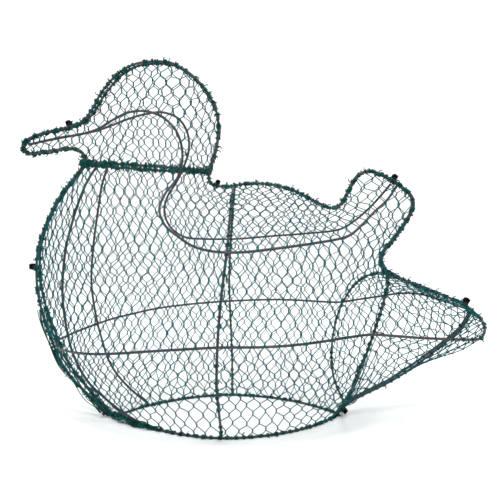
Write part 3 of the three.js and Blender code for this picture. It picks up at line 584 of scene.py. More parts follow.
class Sheet:
    """A sheet of netting laid over a height map. The plane's coordinates are (a, b); lengths measured along
    the netting are (along, up). The twists keep to the b direction. Where the netting is pulled, its cells
    are longer: slack gives how much less netting than surface there is at (a, b), along and up."""

    # The grid: its step, its margin round the sheet, the square of the steepest slope that it follows, how
    # much the surface outside the sheet counts, and how far from the last node it is still read
    REACH = 6.5
    MARGIN = 14.0
    STEEPEST = 6.0
    OUTSIDE_WEIGHT = 0.03
    LAST_CELL = 1.001
    # Finding spots on the flattened netting: how many at a time, the rounds, the share of each correction
    # that is taken, the least area it divides by, and the greatest miss
    BATCH = 2000
    ROUNDS = 14
    ROUND_SHARE = 0.8
    LEAST_AREA = 0.2
    MISS = 1.0
    # How often a line is halved to find where it leaves the sheet
    HALVINGS = 9

    def __init__(self, height, polygon, place, origin, slack=None):
        self.height = height
        self.polygon = polygon
        self.place = place
        self.low = polygon.min(0) - self.MARGIN
        self.counts = np.ceil((polygon.max(0) + self.MARGIN - self.low) / self.REACH).astype(int) + 1
        a = self.low[0] + self.REACH * np.arange(self.counts[0])
        b = self.low[1] + self.REACH * np.arange(self.counts[1])
        self.grid_a, self.grid_b = np.meshgrid(a, b, indexing="ij")
        middle_a = self.grid_a[:-1, :-1] + self.REACH / 2
        middle_b = self.grid_b[:-1, :-1] + self.REACH / 2
        slopes = self.slopes(middle_a, middle_b, probe=1.5)
        lengths = [np.sqrt(1 + np.minimum(slope**2, self.STEEPEST)) for slope in slopes]
        if slack is not None:
            lengths = [length * pulled for length, pulled in zip(lengths, slack(middle_a, middle_b))]
        weight = np.where(inside(polygon, middle_a, middle_b), 1.0, self.OUTSIDE_WEIGHT)
        netting = self.flattened(lengths, weight)
        i, j = ((np.asarray(origin) - self.low) / self.REACH).astype(int)
        self.along, self.up = netting - netting[:, i : i + 1, j : j + 1]

    def slopes(self, a, b, probe):
        """Slopes of the height map along a and along b."""
        return (
            (self.height(a + probe, b) - self.height(a - probe, b)) / (2 * probe),
            (self.height(a, b + probe) - self.height(a, b - probe)) / (2 * probe),
        )

    def flattened(self, lengths, weight):
        """Lengths along the netting at every node: the wires run as straight as the surface lets them."""
        count_a, count_b = self.counts
        number = np.arange(count_a * count_b).reshape(count_a, count_b)
        matrix = np.zeros((number.size, number.size))
        pull = np.zeros((number.size, 2))
        half = weight.ravel() / 2
        first, last = slice(None, -1), slice(1, None)
        for k in (first, last):
            edges = ((number[first, k], number[last, k]), (number[k, first], number[k, last]))
            for way, (start, end) in enumerate(edges):
                start, end = start.ravel(), end.ravel()
                for p, q, sign in ((start, start, 1), (end, end, 1), (start, end, -1), (end, start, -1)):
                    np.add.at(matrix, (p, q), sign * half)
                step = half * lengths[way].ravel() * self.REACH
                np.add.at(pull[:, way], end, step)
                np.add.at(pull[:, way], start, -step)
        matrix[0, 0] += 1.0
        return np.linalg.solve(matrix, pull).T.reshape(2, count_a, count_b)

    def look_up(self, table, a, b):
        u = np.clip((a - self.low[0]) / self.REACH, 0, self.counts[0] - self.LAST_CELL)
        v = np.clip((b - self.low[1]) / self.REACH, 0, self.counts[1] - self.LAST_CELL)
        i, j = u.astype(int), v.astype(int)
        s, t = u - i, v - j
        return (
            table[i, j] * (1 - s) * (1 - t) + table[i + 1, j] * s * (1 - t)
            + table[i, j + 1] * (1 - s) * t + table[i + 1, j + 1] * s * t
        )

    def at(self, along, up):
        """Plane points of spots on the flattened netting, and which of them lie on the sheet."""
        shape = along.shape
        along, up = along.ravel(), up.ravel()
        closest = np.empty(len(along), int)
        for start in range(0, len(along), self.BATCH):
            part = slice(start, start + self.BATCH)
            gaps = (along[part, None] - self.along.ravel()) ** 2 + (up[part, None] - self.up.ravel()) ** 2
            closest[part] = gaps.argmin(1)
        a, b = self.grid_a.ravel()[closest], self.grid_b.ravel()[closest]
        high = self.low + self.REACH * (self.counts - 1)
        slopes = [np.gradient(table, self.REACH) for table in (self.along, self.up)]
        for _ in range(self.ROUNDS):
            miss_u = along - self.look_up(self.along, a, b)
            miss_v = up - self.look_up(self.up, a, b)
            (ua, ub), (va, vb) = [[self.look_up(slope, a, b) for slope in pair] for pair in slopes]
            area = ua * vb - ub * va
            area = np.where(np.abs(area) < self.LEAST_AREA, self.LEAST_AREA, area)
            a = a + self.ROUND_SHARE * (miss_u * vb - miss_v * ub) / area
            b = b + self.ROUND_SHARE * (miss_v * ua - miss_u * va) / area
            a = np.clip(a, self.low[0], high[0])
            b = np.clip(b, self.low[1], high[1])
        miss = np.hypot(along - self.look_up(self.along, a, b), up - self.look_up(self.up, a, b))
        found = (miss < self.MISS) & inside(self.polygon, a, b)
        return a.reshape(shape), b.reshape(shape), found.reshape(shape)

    def raised(self, a, b, lift):
        """Points on the surface, moved out from it by lift."""
        slope_a, slope_b = self.slopes(a, b, probe=0.5)
        normal = np.stack([-slope_a, -slope_b, np.ones_like(slope_a)], -1)
        normal /= np.linalg.norm(normal, axis=-1, keepdims=True)
        return self.place(np.stack([a, b, self.height(a, b)], -1) + normal * lift[..., None])

    def leaving(self, a0, b0, a1, b1):
        """How far along each line from (a0, b0) to (a1, b1) it leaves the sheet."""
        low, high = np.zeros(len(a0)), np.ones(len(a0))
        for _ in range(self.HALVINGS):
            middle = (low + high) / 2
            within = inside(self.polygon, a0 + (a1 - a0) * middle, b0 + (b1 - b0) * middle)
            low = np.where(within, middle, low)
            high = np.where(within, high, middle)
        return low

    def trimmed(self, a, b, shown, points, longest):
        """The stretches of each wire that lie on the sheet, carried on to its edge."""
        chains = []
        for wire, on_sheet in enumerate(shown):
            marks = np.flatnonzero(np.diff(np.concatenate([[0], on_sheet.astype(int), [0]])))
            chains += [(wire, start, stop - 1) for start, stop in zip(marks[::2], marks[1::2])]
        ends = [(wire, k, k + way) for wire, start, stop in chains for k, way in ((start, -1), (stop, 1))
                if 0 <= k + way < shown.shape[1]]
        w, k, n = np.array(ends).T
        share = self.leaving(a[w, k], b[w, k], a[w, n], b[w, n])
        joins = points[w, k] + (points[w, n] - points[w, k]) * share[:, None]
        usable = np.linalg.norm(points[w, n] - points[w, k], axis=1) < longest
        border = {end: join for end, join, fits in zip(ends, joins, usable) if fits}
        paths = []
        for wire, start, stop in chains:
            chain = list(points[wire, start : stop + 1])
            if (wire, start, start - 1) in border:
                chain.insert(0, border[wire, start, start - 1])
            if (wire, stop, stop + 1) in border:
                chain.append(border[wire, stop, stop + 1])
            chain = np.array(chain)
            if np.linalg.norm(np.diff(chain, axis=0), axis=1).sum() > SHORTEST_WIRE:
                paths.append(chain)
        return paths


def flat_netting(far, cell, pitch, twist, wire_radius, unevenness, drift, rng):
    """Flat netting out to a distance, a row of points for each wire: across, up, and out of the plane. Each
    wire zigzags up the sheet, twisted once with its left neighbour and once with its right one in turn."""
    half = cell / 2
    wires = int(far / half)
    rows = int(far / pitch)
    wire, row = np.meshgrid(np.arange(-wires, wires + 1), np.arange(-rows, rows + 1), indexing="ij")
    partner = np.where((wire + row) % 2 == 0, 1, -1)
    knot = 2 * wire + partner
    jitter = rng.normal(0, 1, (4 * wires + 8, 2 * rows + 3, 3))
    nudge = jitter[knot + 2 * wires + 3, row + rows]
    centre_u = knot * half / 2 + nudge[..., 0] * unevenness
    centre_v = row * pitch + nudge[..., 1] * unevenness
    lean = nudge[..., 2] * KNOT_LEAN * unevenness
    steps = np.linspace(0, 1, TWIST_POINTS)
    phase = np.where(partner > 0, math.pi, 0.0)[..., None] + 2 * math.pi * steps
    size = twist * (1 + KNOT_STRETCH * nudge[..., 2] * unevenness)
    v = centre_v[..., None] + (steps - 0.5) * size[..., None]
    u = centre_u[..., None] + (v - centre_v[..., None]) * lean[..., None]
    u = u + TWIST_SPREAD * wire_radius * np.cos(phase)
    lift = TWIST_SPREAD * wire_radius * np.sin(phase)
    u, v, lift = (values.reshape(len(wire), -1) for values in (u, v, lift))
    waves = rng.uniform(0, 2 * math.pi, (2, len(WAVE_LENGTHS)))
    for k, length in enumerate(WAVE_LENGTHS):
        tilt = rng.uniform(0, math.pi)
        along = (u * math.cos(tilt) + v * math.sin(tilt)) * 2 * math.pi / length
        u = u + drift * np.sin(along + waves[0, k])
        v = v + drift * np.cos(along * WAVE_RATIO + waves[1, k])
    return u, v, lift


def net_paths(sheet, seed, unevenness, drift, turn=0.0, shift=(0.0, 0.0), wider=1.0, higher=1.0, longer=1.0):
    """Paths of the netting wires of one sheet, whose cells may be wider or higher, with longer twists."""
    s = settings()
    cell = s.cell_width / MM * wider
    pitch = s.row_pitch / MM * higher
    on_sheet = inside(sheet.polygon, sheet.grid_a, sheet.grid_b)
    far = np.hypot(sheet.along, sheet.up)[on_sheet].max() + 2 * cell
    u, v, lift = flat_netting(far, cell, pitch, s.twist_length / MM * longer, s.wire_diameter / 2 / MM,
                              unevenness, drift, np.random.default_rng(seed))
    turned_u = u * math.cos(turn) - v * math.sin(turn) + shift[0]
    turned_v = u * math.sin(turn) + v * math.cos(turn) + shift[1]
    a, b, shown = sheet.at(turned_u, turned_v)
    return sheet.trimmed(a, b, shown, sheet.raised(a, b, lift), 2 * pitch)


def loose_strands(path, strands, seed):
    """Wires laid along a path and loosely wound round it."""
    rng = np.random.default_rng(seed)
    path = evenly(path, STRAND_STEP)
    lengths = np.arange(len(path)) * STRAND_STEP
    tangents = np.gradient(path, axis=0)
    tangents /= np.linalg.norm(tangents, axis=1, keepdims=True)
    across = np.cross(tangents, OFF_STRAND)
    across /= np.linalg.norm(across, axis=1, keepdims=True)
    upward = np.cross(tangents, across)
    made = []
    for _ in range(strands.count):
        wobble = rng.uniform(0, STRAND_TURN, 4)
        winding = lengths / strands.turn_length * STRAND_TURN * rng.choice([-1, 1])
        angle = wobble[0] + winding + ANGLE_WAVE[0] * np.sin(lengths / ANGLE_WAVE[1] + wobble[1])
        waver = RADIUS_SHARE + RADIUS_WAVE[0] * np.sin(lengths / RADIUS_WAVE[1] + wobble[2])
        radius = strands.spread * waver
        aside = (radius * np.cos(angle))[:, None]
        above = (radius * np.sin(angle))[:, None]
        strand = path + across * aside + upward * above
        strand[:, 2] = np.maximum(strand[:, 2], STRAND_FLOOR)
        made.append(strand)
    return made


# Blender helpers


def settings():
    return bpy.context.scene.duck_frame


def new_object(name, mesh):
    made = bpy.data.objects.new(name, mesh)
    bpy.context.scene.collection.objects.link(made)
    return made


def path_object(name, paths):
    """An object whose loose edges run along the paths, in metres in the CAD frame."""
    vertices, edges = [], []
    for path in paths:
        start = len(vertices)
        vertices += [tuple(point) for point in (path + CAD_SHIFT) * MM]
        edges += [(k, k + 1) for k in range(start, len(vertices) - 1)]
    mesh = bpy.data.meshes.new(name)
    mesh.from_pydata(vertices, edges, [])
    mesh.update()
    return new_object(name, mesh)


def grown(name, paths, tree, inputs):
    """Runs a node tree on paths and returns one plain mesh object."""
    made = path_object(name, paths)
    modifier = made.modifiers.new("grow", "NODES")
    modifier.node_group = tree
    sockets = {item.name: item.identifier for item in tree.interface.items_tree if item.in_out == "INPUT"}
    for key, value in inputs.items():
        modifier[sockets[key]] = value
    bpy.context.view_layer.update()
    graph = bpy.context.evaluated_depsgraph_get()
    mesh = bpy.data.meshes.new_from_object(made.evaluated_get(graph), depsgraph=graph)
    made.modifiers.clear()
    paths_only = made.data
    made.data = mesh
    bpy.data.meshes.remove(paths_only)
    mesh.name = name
    return made


def joined(name, parts):
    """Joins plain mesh objects into the first of them."""
    piece = parts[0]
    if len(parts) > 1:
        with bpy.context.temp_override(active_object=piece, object=piece, selected_editable_objects=parts):
            bpy.ops.object.join()
    piece.name = name
    piece.data.name = name
    return piece


def hand_over(piece, slot, *nodes):
    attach(piece, "root")
    if nodes:
        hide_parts(*nodes)


def new_group(name, kind, inputs, outputs):
    """A node group with its named inputs and outputs, and its input and output nodes."""
    tree = bpy.data.node_groups.new(name, kind)
    for label, socket_type, default in inputs:
        socket = tree.interface.new_socket(label, in_out="INPUT", socket_type="NodeSocket" + socket_type)
        if default is not None:
            socket.default_value = default
    for label, socket_type in outputs:
        tree.interface.new_socket(label, in_out="OUTPUT", socket_type="NodeSocket" + socket_type)
    return tree, tree.nodes.new("NodeGroupInput").outputs, tree.nodes.new("NodeGroupOutput")


def linked(tree, kind, inputs=None, **options):
    """Adds a node, sets its options, then links or sets its inputs by name or number."""
    node = tree.nodes.new(kind)
    for key, value in options.items():
        setattr(node, key, value)
    for key, source in (inputs or {}).items():
        if hasattr(source, "is_output"):
            tree.links.new(source, node.inputs[key])
        else:
            node.inputs[key].default_value = source
    return node


def result_of(tree, kind, inputs=None, **options):
    """First output of a new node."""
    return linked(tree, kind, inputs, **options).outputs[0]


def maths(tree, operation, first, second):
    return result_of(tree, "ShaderNodeMath", {0: first, 1: second}, operation=operation)


def placed(tree, x, y, z):
    return result_of(tree, "ShaderNodeCombineXYZ", {"X": x, "Y": y, "Z": z})


def drawn(tree, data_type, inputs):
    """A random value, from the one of the node's outputs that its data type makes available."""
    return linked(tree, "FunctionNodeRandomValue", inputs, data_type=data_type).outputs["Value"]


def swept(tree, path, profile):
    return result_of(tree, "GeometryNodeCurveToMesh",
                     {"Curve": path, "Profile Curve": profile, "Fill Caps": True})


def end_tree(tree, geometry, material, end):
    """Every tree ends in Realize Instances and Set Material."""
    smooth = result_of(tree, "GeometryNodeSetShadeSmooth", {"Geometry": geometry})
    real = result_of(tree, "GeometryNodeRealizeInstances", {"Geometry": smooth})
    finished = result_of(tree, "GeometryNodeSetMaterial", {"Geometry": real, "Material": material})
    tree.links.new(finished, end.inputs[0])


def wire_tree():
    """Round wire or rod along every path of the input."""
    if "Round wire" in bpy.data.node_groups:
        return bpy.data.node_groups["Round wire"]
    tree, given, end = new_group("Round wire", "GeometryNodeTree", [
        ("Geometry", "Geometry", None),
        ("Radius", "Float", 0.0004),
        ("Sides", "Int", 5),
        ("Material", "Material", None),
    ], [("Geometry", "Geometry")])
    curve = result_of(tree, "GeometryNodeMeshToCurve", {"Mesh": given["Geometry"]})
    ring = result_of(tree, "GeometryNodeCurvePrimitiveCircle",
                     {"Resolution": given["Sides"], "Radius": given["Radius"]})
    end_tree(tree, swept(tree, curve, ring), given["Material"], end)
    return tree


def wound_tree():
    """Short coils of netting wire wound round a path, some with a loose end standing out. Nothing goes
    below the ground."""
    if "Wound ends" in bpy.data.node_groups:
        return bpy.data.node_groups["Wound ends"]
    tree, given, end = new_group("Wound ends", "GeometryNodeTree", [
        ("Geometry", "Geometry", None),
        ("Spacing", "Float", 0.006),
        ("Coil Radius", "Float", 0.0019),
        ("Coil Length", "Float", 0.003),
        ("Turns", "Float", 2.5),
        ("Wire Radius", "Float", 0.0004),
        ("Gaps", "Float", 0.1),
        ("Loose End", "Float", 0.004),
        ("Loose Share", "Float", 0.5),
        ("Seed", "Int", 1),
        ("Material", "Material", None),
    ], [("Geometry", "Geometry")])
    curve = result_of(tree, "GeometryNodeMeshToCurve", {"Mesh": given["Geometry"]})
    dots = linked(tree, "GeometryNodeCurveToPoints",
                  {"Curve": curve, "Length": given["Spacing"]}, mode="LENGTH")
    facing = result_of(tree, "FunctionNodeAlignRotationToVector",
                       {"Vector": dots.outputs["Tangent"]}, axis="Z")
    held = result_of(tree, "GeometryNodeStoreNamedAttribute", {
        "Geometry": dots.outputs["Points"], "Name": "facing", "Value": facing},
        data_type="QUATERNION", domain="POINT")
    skip = drawn(tree, "BOOLEAN", {"Probability": given["Gaps"], "Seed": given["Seed"]})
    places = result_of(tree, "GeometryNodeDeleteGeometry",
                       {"Geometry": held, "Selection": skip}, domain="POINT")
    along_rod = result_of(tree, "GeometryNodeInputNamedAttribute",
                          {"Name": "facing"}, data_type="QUATERNION")

    def seeded(offset):
        return maths(tree, "ADD", given["Seed"], float(offset))

    def scattered(shape, seed, **selection):
        """The shape at every place, turned about the rod and scaled at random."""
        angle = drawn(tree, "FLOAT", {"Max": FULL_TURN, "Seed": seed})
        spin = result_of(tree, "FunctionNodeAxisAngleToRotation", {"Axis": (0, 0, 1), "Angle": angle})
        turned = result_of(tree, "FunctionNodeRotateRotation", {"Rotation": along_rod, "Rotate By": spin},
                           rotation_space="LOCAL")
        size = drawn(tree, "FLOAT_VECTOR", {"Min": COIL_SIZES[0], "Max": COIL_SIZES[1], "Seed": seed})
        return result_of(tree, "GeometryNodeInstanceOnPoints", {
            "Points": places, "Instance": shape, "Rotation": turned, "Scale": size, **selection})

    radius, loose = given["Coil Radius"], given["Loose End"]
    ring = result_of(tree, "GeometryNodeCurvePrimitiveCircle",
                     {"Resolution": COIL_SIDES, "Radius": given["Wire Radius"]})
    coil = result_of(tree, "GeometryNodeCurveSpiral", {
        "Resolution": COIL_STEPS, "Rotations": given["Turns"], "Start Radius": radius,
        "End Radius": maths(tree, "MULTIPLY", radius, COIL_FLARE), "Height": given["Coil Length"]})
    coils = scattered(swept(tree, coil, ring), seeded(11))

    reach = maths(tree, "ADD", radius, loose)
    rise = maths(tree, "MULTIPLY", loose, LOOSE_RISE)
    tail = result_of(tree, "GeometryNodeCurveQuadraticBezier", {
        "Resolution": LOOSE_STEPS, "Start": placed(tree, radius, LOOSE_START, 0.0),
        "Middle": placed(tree, reach, *LOOSE_BEND), "End": placed(tree, reach, rise, rise)})
    seed = seeded(37)
    some = drawn(tree, "BOOLEAN", {"Probability": given["Loose Share"], "Seed": seed})
    tails = scattered(swept(tree, tail, ring), seed, Selection=some)

    both = linked(tree, "GeometryNodeJoinGeometry")
    for part in (coils, tails):
        tree.links.new(part, both.inputs[0])
    real = result_of(tree, "GeometryNodeRealizeInstances", {"Geometry": both.outputs[0]})
    spot = result_of(tree, "GeometryNodeInputPosition")
    x, y, z = linked(tree, "ShaderNodeSeparateXYZ", {"Vector": spot}).outputs
    above_ground = placed(tree, x, y, maths(tree, "MAXIMUM", z, 0.0))
    pressed = result_of(tree, "GeometryNodeSetPosition", {"Geometry": real, "Position": above_ground})
    end_tree(tree, pressed, given["Material"], end)
    return tree


# Finishes


def patchy_coat():
    """Colour drifts between two shades, with fine lighter scuffs that stand out as bumps."""
    if "Patchy coat" in bpy.data.node_groups:
        return bpy.data.node_groups["Patchy coat"]
    tree, given, end = new_group("Patchy coat", "ShaderNodeTree", [
        ("Dark Colour", "Color", (0.02, 0.02, 0.02, 1)),
        ("Light Colour", "Color", (0.1, 0.1, 0.1, 1)),
        ("Scuff Colour", "Color", (0.3, 0.3, 0.3, 1)),
        ("Patch Scale", "Float", 60.0),
        ("Scuff Scale", "Float", 400.0),
        ("Scuff Share", "Float", 0.1),
        ("Roughness", "Float", 0.4),
    ], [("Colour", "Color"), ("Roughness", "Float"), ("Height", "Float")])
    place = linked(tree, "ShaderNodeTexCoord").outputs["Object"]

    def noise(scale, detail, roughness):
        return result_of(tree, "ShaderNodeTexNoise",
                         {"Vector": place, "Scale": scale, "Detail": detail, "Roughness": roughness})

    def stretched(value, low, high):
        return result_of(tree, "ShaderNodeMapRange", {"Value": value, "From Min": low, "From Max": high})

    def mixed(share, first, second):
        node = linked(tree, "ShaderNodeMix", {"Factor": share, "A": first, "B": second}, data_type="RGBA")
        return node.outputs["Result"]

    patches = stretched(noise(given["Patch Scale"], detail=3.0, roughness=0.6), *PATCH_RANGE)
    scuffs = noise(given["Scuff Scale"], detail=4.0, roughness=0.7)
    scuffed = stretched(scuffs, maths(tree, "SUBTRACT", SCUFF_START, given["Scuff Share"]), SCUFF_FULL)
    shade = mixed(patches, given["Dark Colour"], given["Light Colour"])
    rough = maths(tree, "MULTIPLY", patches, PATCH_ROUGHNESS)
    tree.links.new(mixed(scuffed, shade, given["Scuff Colour"]), end.inputs["Colour"])
    tree.links.new(maths(tree, "ADD", rough, given["Roughness"]), end.inputs["Roughness"])
    tree.links.new(scuffs, end.inputs["Height"])
    return tree


def coated(name, colour, lighter, scuff, patch_scale, scuff_scale, scuff_share, roughness, bump, shine):
    """Material with the patchy coat: lighter is the light shade's factor and what is added to it."""
    if name in bpy.data.materials:
        return bpy.data.materials[name]
    material = bpy.data.materials.new(name)
    material.use_nodes = True
    tree = material.node_tree
    effect = tree.nodes.new("ShaderNodeGroup")
    effect.node_tree = patchy_coat()
    factor, added = lighter
    values = {
        "Dark Colour": (*colour, 1),
        "Light Colour": (*[min(1, c * factor + added) for c in colour], 1),
        "Scuff Colour": (*scuff, 1),
        "Patch Scale": patch_scale,
        "Scuff Scale": scuff_scale,
        "Scuff Share": scuff_share,
        "Roughness": roughness,
    }
    for key, value in values.items():
        effect.inputs[key].default_value = value
    bumps = result_of(tree, "ShaderNodeBump",
                      {"Height": effect.outputs["Height"], "Strength": BUMP_STRENGTH, "Distance": bump})
    shader = tree.nodes["Principled BSDF"]
    tree.links.new(effect.outputs["Colour"], shader.inputs["Base Color"])
    tree.links.new(effect.outputs["Roughness"], shader.inputs["Roughness"])
    tree.links.new(bumps, shader.inputs["Normal"])
    shader.inputs["Specular IOR Level"].default_value = shine
    return material


def rod_paint():
    return coated(
        "Rod paint", settings().rod_colour, lighter=(1.7, 0.008), scuff=(0.12, 0.10, 0.12), patch_scale=45,
        scuff_scale=900, scuff_share=0.1, roughness=0.24, bump=0.0001, shine=0.45)


def net_coat():
    return coated(
        "Netting coat", settings().net_colour, lighter=(1.9, 0.003), scuff=(0.012, 0.16, 0.16),
        patch_scale=70, scuff_scale=1200, scuff_share=0.12, roughness=0.5, bump=0.00006, shine=0.05)


# The wound ends are the netting's own coated wire, drawn darker than the netting: painted shade of the dense
# coils and bundles.
def wound_coat_with_painted_shade():
    return coated(
        "Wound wire coat with painted shade", settings().wound_colour_with_painted_shade, lighter=(4.2, 0.003), scuff=(0.01, 0.14, 0.10),
        patch_scale=90, scuff_scale=1200, scuff_share=0.12, roughness=0.45, bump=0.00006, shine=0.08)


def tie_nylon():
    return coated(
        "Cable tie nylon", settings().tie_colour, lighter=(1.6, 0.002), scuff=(0.03, 0.03, 0.035),
        patch_scale=120, scuff_scale=700, scuff_share=0.06, roughness=0.34, bump=0.00008, shine=0.2)


# Settings


def length_setting(name, description, default, low, high, precision=4):
    return bpy.props.FloatProperty(
        name=name, description=description, default=default, min=low, max=high, precision=precision,
        unit="LENGTH")


def colour_setting(name, description, default):
    return bpy.props.FloatVectorProperty(
        name=name, description=description, default=default, min=0, max=1, subtype="COLOR")


class DuckFrameSettings(bpy.types.PropertyGroup):
    rod_diameter: length_setting("Rod diameter", "Diameter of the bent rods", 0.0028, 0.001, 0.006)
    wire_diameter: length_setting(
        "Netting wire diameter", "Diameter of one netting wire", 0.00103, 0.0004, 0.002, precision=5)
    cell_width: length_setting(
        "Cell width", "Distance between the two twisted sides of a netting cell", 0.0128, 0.006, 0.03)
    row_pitch: length_setting("Row pitch", "Distance from one row of twists to the next", 0.0108, 0.005, 0.03)
    twist_length: length_setting(
        "Twist length", "Length of the twisted stretch between two cells", 0.005, 0.001, 0.01)
    rod_colour: colour_setting("Rod colour", "Paint of the rods", (0.014, 0.011, 0.017))
    net_colour: colour_setting("Netting colour", "Coat of the netting wires", (0.0006, 0.050, 0.057))
    # The netting's teal coat, darkened with painted shade of the dense coils on the rods
    wound_colour_with_painted_shade: colour_setting(
        "Wound end colour with painted shade", "Coat of the wire ends wound round the rods, darkened with painted shade of the dense coils", (0.0006, 0.022, 0.018))
    tie_colour: colour_setting("Cable tie colour", "Nylon of the cable ties", (0.003, 0.003, 0.004))


# Pieces


class DUCK_OT_rods(bpy.types.Operator):
    """Make the round bent rods of both sides"""

    bl_idname = "duck_frame.rods"
    bl_label = "Bent rods"

    def execute(self, context):
        for side in SIDES:
            for name, path in rod_paths(side).items():
                node = f"{name}_rod_{LABEL[side]}"
                piece = grown("round_" + node, [evenly(path, PATH_STEP)], wire_tree(), {
                    "Radius": settings().rod_diameter / 2, "Sides": ROD_SIDES, "Material": rod_paint()})
                hand_over(piece, "rod_paint", node)
        return {"FINISHED"}


def upright(side):
    """Puts points of the side view, with their distance outwards, on one side of the duck."""
    return lambda points: points[..., [0, 2, 1]] * (1, side, 1)


def lying(side, out):
    """Puts points of the plan, with their height outwards from the tail, on one side of the duck."""
    return lambda points: points * (1, side, out)


def hang(name, paths, *nodes):
    """Makes one sheet of netting and hands it over."""
    piece = grown(name, paths, wire_tree(), {
        "Radius": settings().wire_diameter / 2, "Sides": WIRE_SIDES, "Material": net_coat()})
    hand_over(piece, "net_wire", *nodes)


class DUCK_OT_body_netting(bpy.types.Operator):
    """Stretch hexagonal netting over the body, in a front and a rear sheet on each side"""

    bl_idname = "duck_frame.body_netting"
    bl_label = "Body netting"

    def execute(self, context):
        for side in SIDES:
            rods = rod_paths(side)
            skin = body_skin(rods)
            for part, origin in BODY_ORIGINS.items():
                sheet = Sheet(skin, body_polygon(rods, part), upright(side), origin, body_slack)
                if side == RIGHT and part == "rear":
                    laid = {"seed": 11, "turn": -0.06, "shift": (3.0, 4.0)}
                else:
                    laid = {"seed": 3 + side}
                paths = net_paths(sheet, unevenness=0.6, drift=1.0, **laid)
                hang(f"netting_body_{LABEL[side]}_{part}", paths, f"net_body_{LABEL[side]}_{part}")
        return {"FINISHED"}


class DUCK_OT_head_netting(bpy.types.Operator):
    """Stretch hexagonal netting over the head and the bill"""

    bl_idname = "duck_frame.head_netting"
    bl_label = "Head netting"

    def execute(self, context):
        for side in SIDES:
            rods = rod_paths(side)
            sheet = Sheet(body_skin(rods), head_polygon(rods), upright(side), HEAD_ORIGIN)
            paths = net_paths(sheet, seed=21 + side, unevenness=0.8, drift=1.2,
                              wider=1.16, higher=1.16, longer=1.3)
            hang(f"netting_head_{LABEL[side]}", paths, f"net_head_{LABEL[side]}", f"net_bill_{LABEL[side]}")
        return {"FINISHED"}


class DUCK_OT_tail_netting(bpy.types.Operator):
    """Stretch hexagonal netting over the upper and lower faces of the fanned tail"""

    bl_idname = "duck_frame.tail_netting"
    bl_label = "Tail netting"

    def execute(self, context):
        for side in SIDES:
            rods = rod_paths(side)
            for part, out in (("upper", 1), ("lower", -1)):
                upper = part == "upper"
                sheet = Sheet(tail_skin(rods, upper), tail_polygon(rods, upper), lying(side, out),
                              TAIL_ORIGIN)
                paths = net_paths(sheet, seed=41 + side + 5 * out, turn=0.05, unevenness=0.8, drift=1.4,
                                  wider=1.1, higher=1.2)
                hang(f"netting_tail_{LABEL[side]}_{part}", paths, f"net_tail_{LABEL[side]}_{part}")
        return {"FINISHED"}


class DUCK_OT_wound_ends(bpy.types.Operator):
    """Wind the cut ends of the netting round the rods at its edges"""

    bl_idname = "duck_frame.wound_ends"
    bl_label = "Wound wire ends"

    def execute(self, context):
        wire = settings().wire_diameter / 2
        coil_radius = settings().rod_diameter / 2 + wire
        for side in SIDES:
            first_seed = FIRST_SEED[side]

            def wound(path, coils):
                return grown("coils", [evenly(path, PATH_STEP)], wound_tree(), {
                    "Spacing": coils.spacing * MM, "Coil Radius": coil_radius * coils.width,
                    "Coil Length": coils.turns * COIL_RISE * MM, "Turns": coils.turns,
                    "Wire Radius": wire, "Gaps": coils.gaps, "Loose End": coils.loose_end * MM,
                    "Loose Share": coils.loose_share, "Seed": first_seed + coils.seed,
                    "Material": wound_coat_with_painted_shade()})

            def bundled(path, strands):
                paths = loose_strands(path, strands, first_seed + strands.seed)
                return grown("strands", paths, wire_tree(), {
                    "Radius": wire, "Sides": STRAND_SIDES, "Material": wound_coat_with_painted_shade()})

            rods = rod_paths(side)
            outline, collar, base, belly = (rods[name] for name in ("outline", "collar", "base", "belly"))
            tail_end = int(np.argmax(outline[:, 0]))
            pieces = {
                "outline": [
                    *[wound(outline[:tail_end], coils) for coils in OUTLINE_COILS],
                    wound(outline[tail_end:], UNDER_TAIL_COILS),
                    bundled(part_of(outline, *BREAST_STRETCH) + BREAST_OUT, BREAST_STRANDS),
                    *[bundled(part_of(outline, *stretch), strands) for stretch, strands in CORNER_STRANDS],
                ],
                "collar": [
                    *[wound(collar, coils) for coils in COLLAR_COILS],
                    bundled(collar, COLLAR_STRANDS),
                    wound(part_of(collar, *COLLAR_FRONT_STRETCH), COLLAR_FRONT_COILS),
                ],
                "base": [wound(base, coils) for coils in BASE_COILS],
                "tail_hoop": [wound(rods["tail_hoop"], TAIL_HOOP_COILS[side])],
                "mid_hoop": [wound(rods["mid_hoop"], MID_HOOP_COILS[side])],
                "tail_fan": [wound(belly[belly[:, 0] > TAIL_FAN_FRONT], TAIL_FAN_COILS)],
            }
            if side == LEFT:
                pieces["base"] += [bundled(sided_spline(bends, side), strands)
                                   for bends, strands in GATHERED_ENDS]
            for name, parts in pieces.items():
                hand_over(joined(f"wound_{name}_{LABEL[side]}", parts), "net_wire")
        return {"FINISHED"}


def tie_place(name):
    """Centre of a cable tie, its head's direction, the axes across and along the rods, and half the
    distance between the rods."""
    spot, head = TIES[name][:2]
    outline = spline(OUTLINE)
    k = int(np.argmin(np.hypot(outline[:, 0] - spot[0], outline[:, 2] - spot[1])))
    tangent = outline[k + 1] - outline[k - 1]
    tangent[1] = 0
    tangent /= np.linalg.norm(tangent)
    head = np.array([head[0], 0.0, head[1]])
    head -= tangent * head.dot(tangent)
    head /= np.linalg.norm(head)
    return outline[k] * (1, 0, 1), head, np.cross(tangent, head), tangent, outline[k][1]


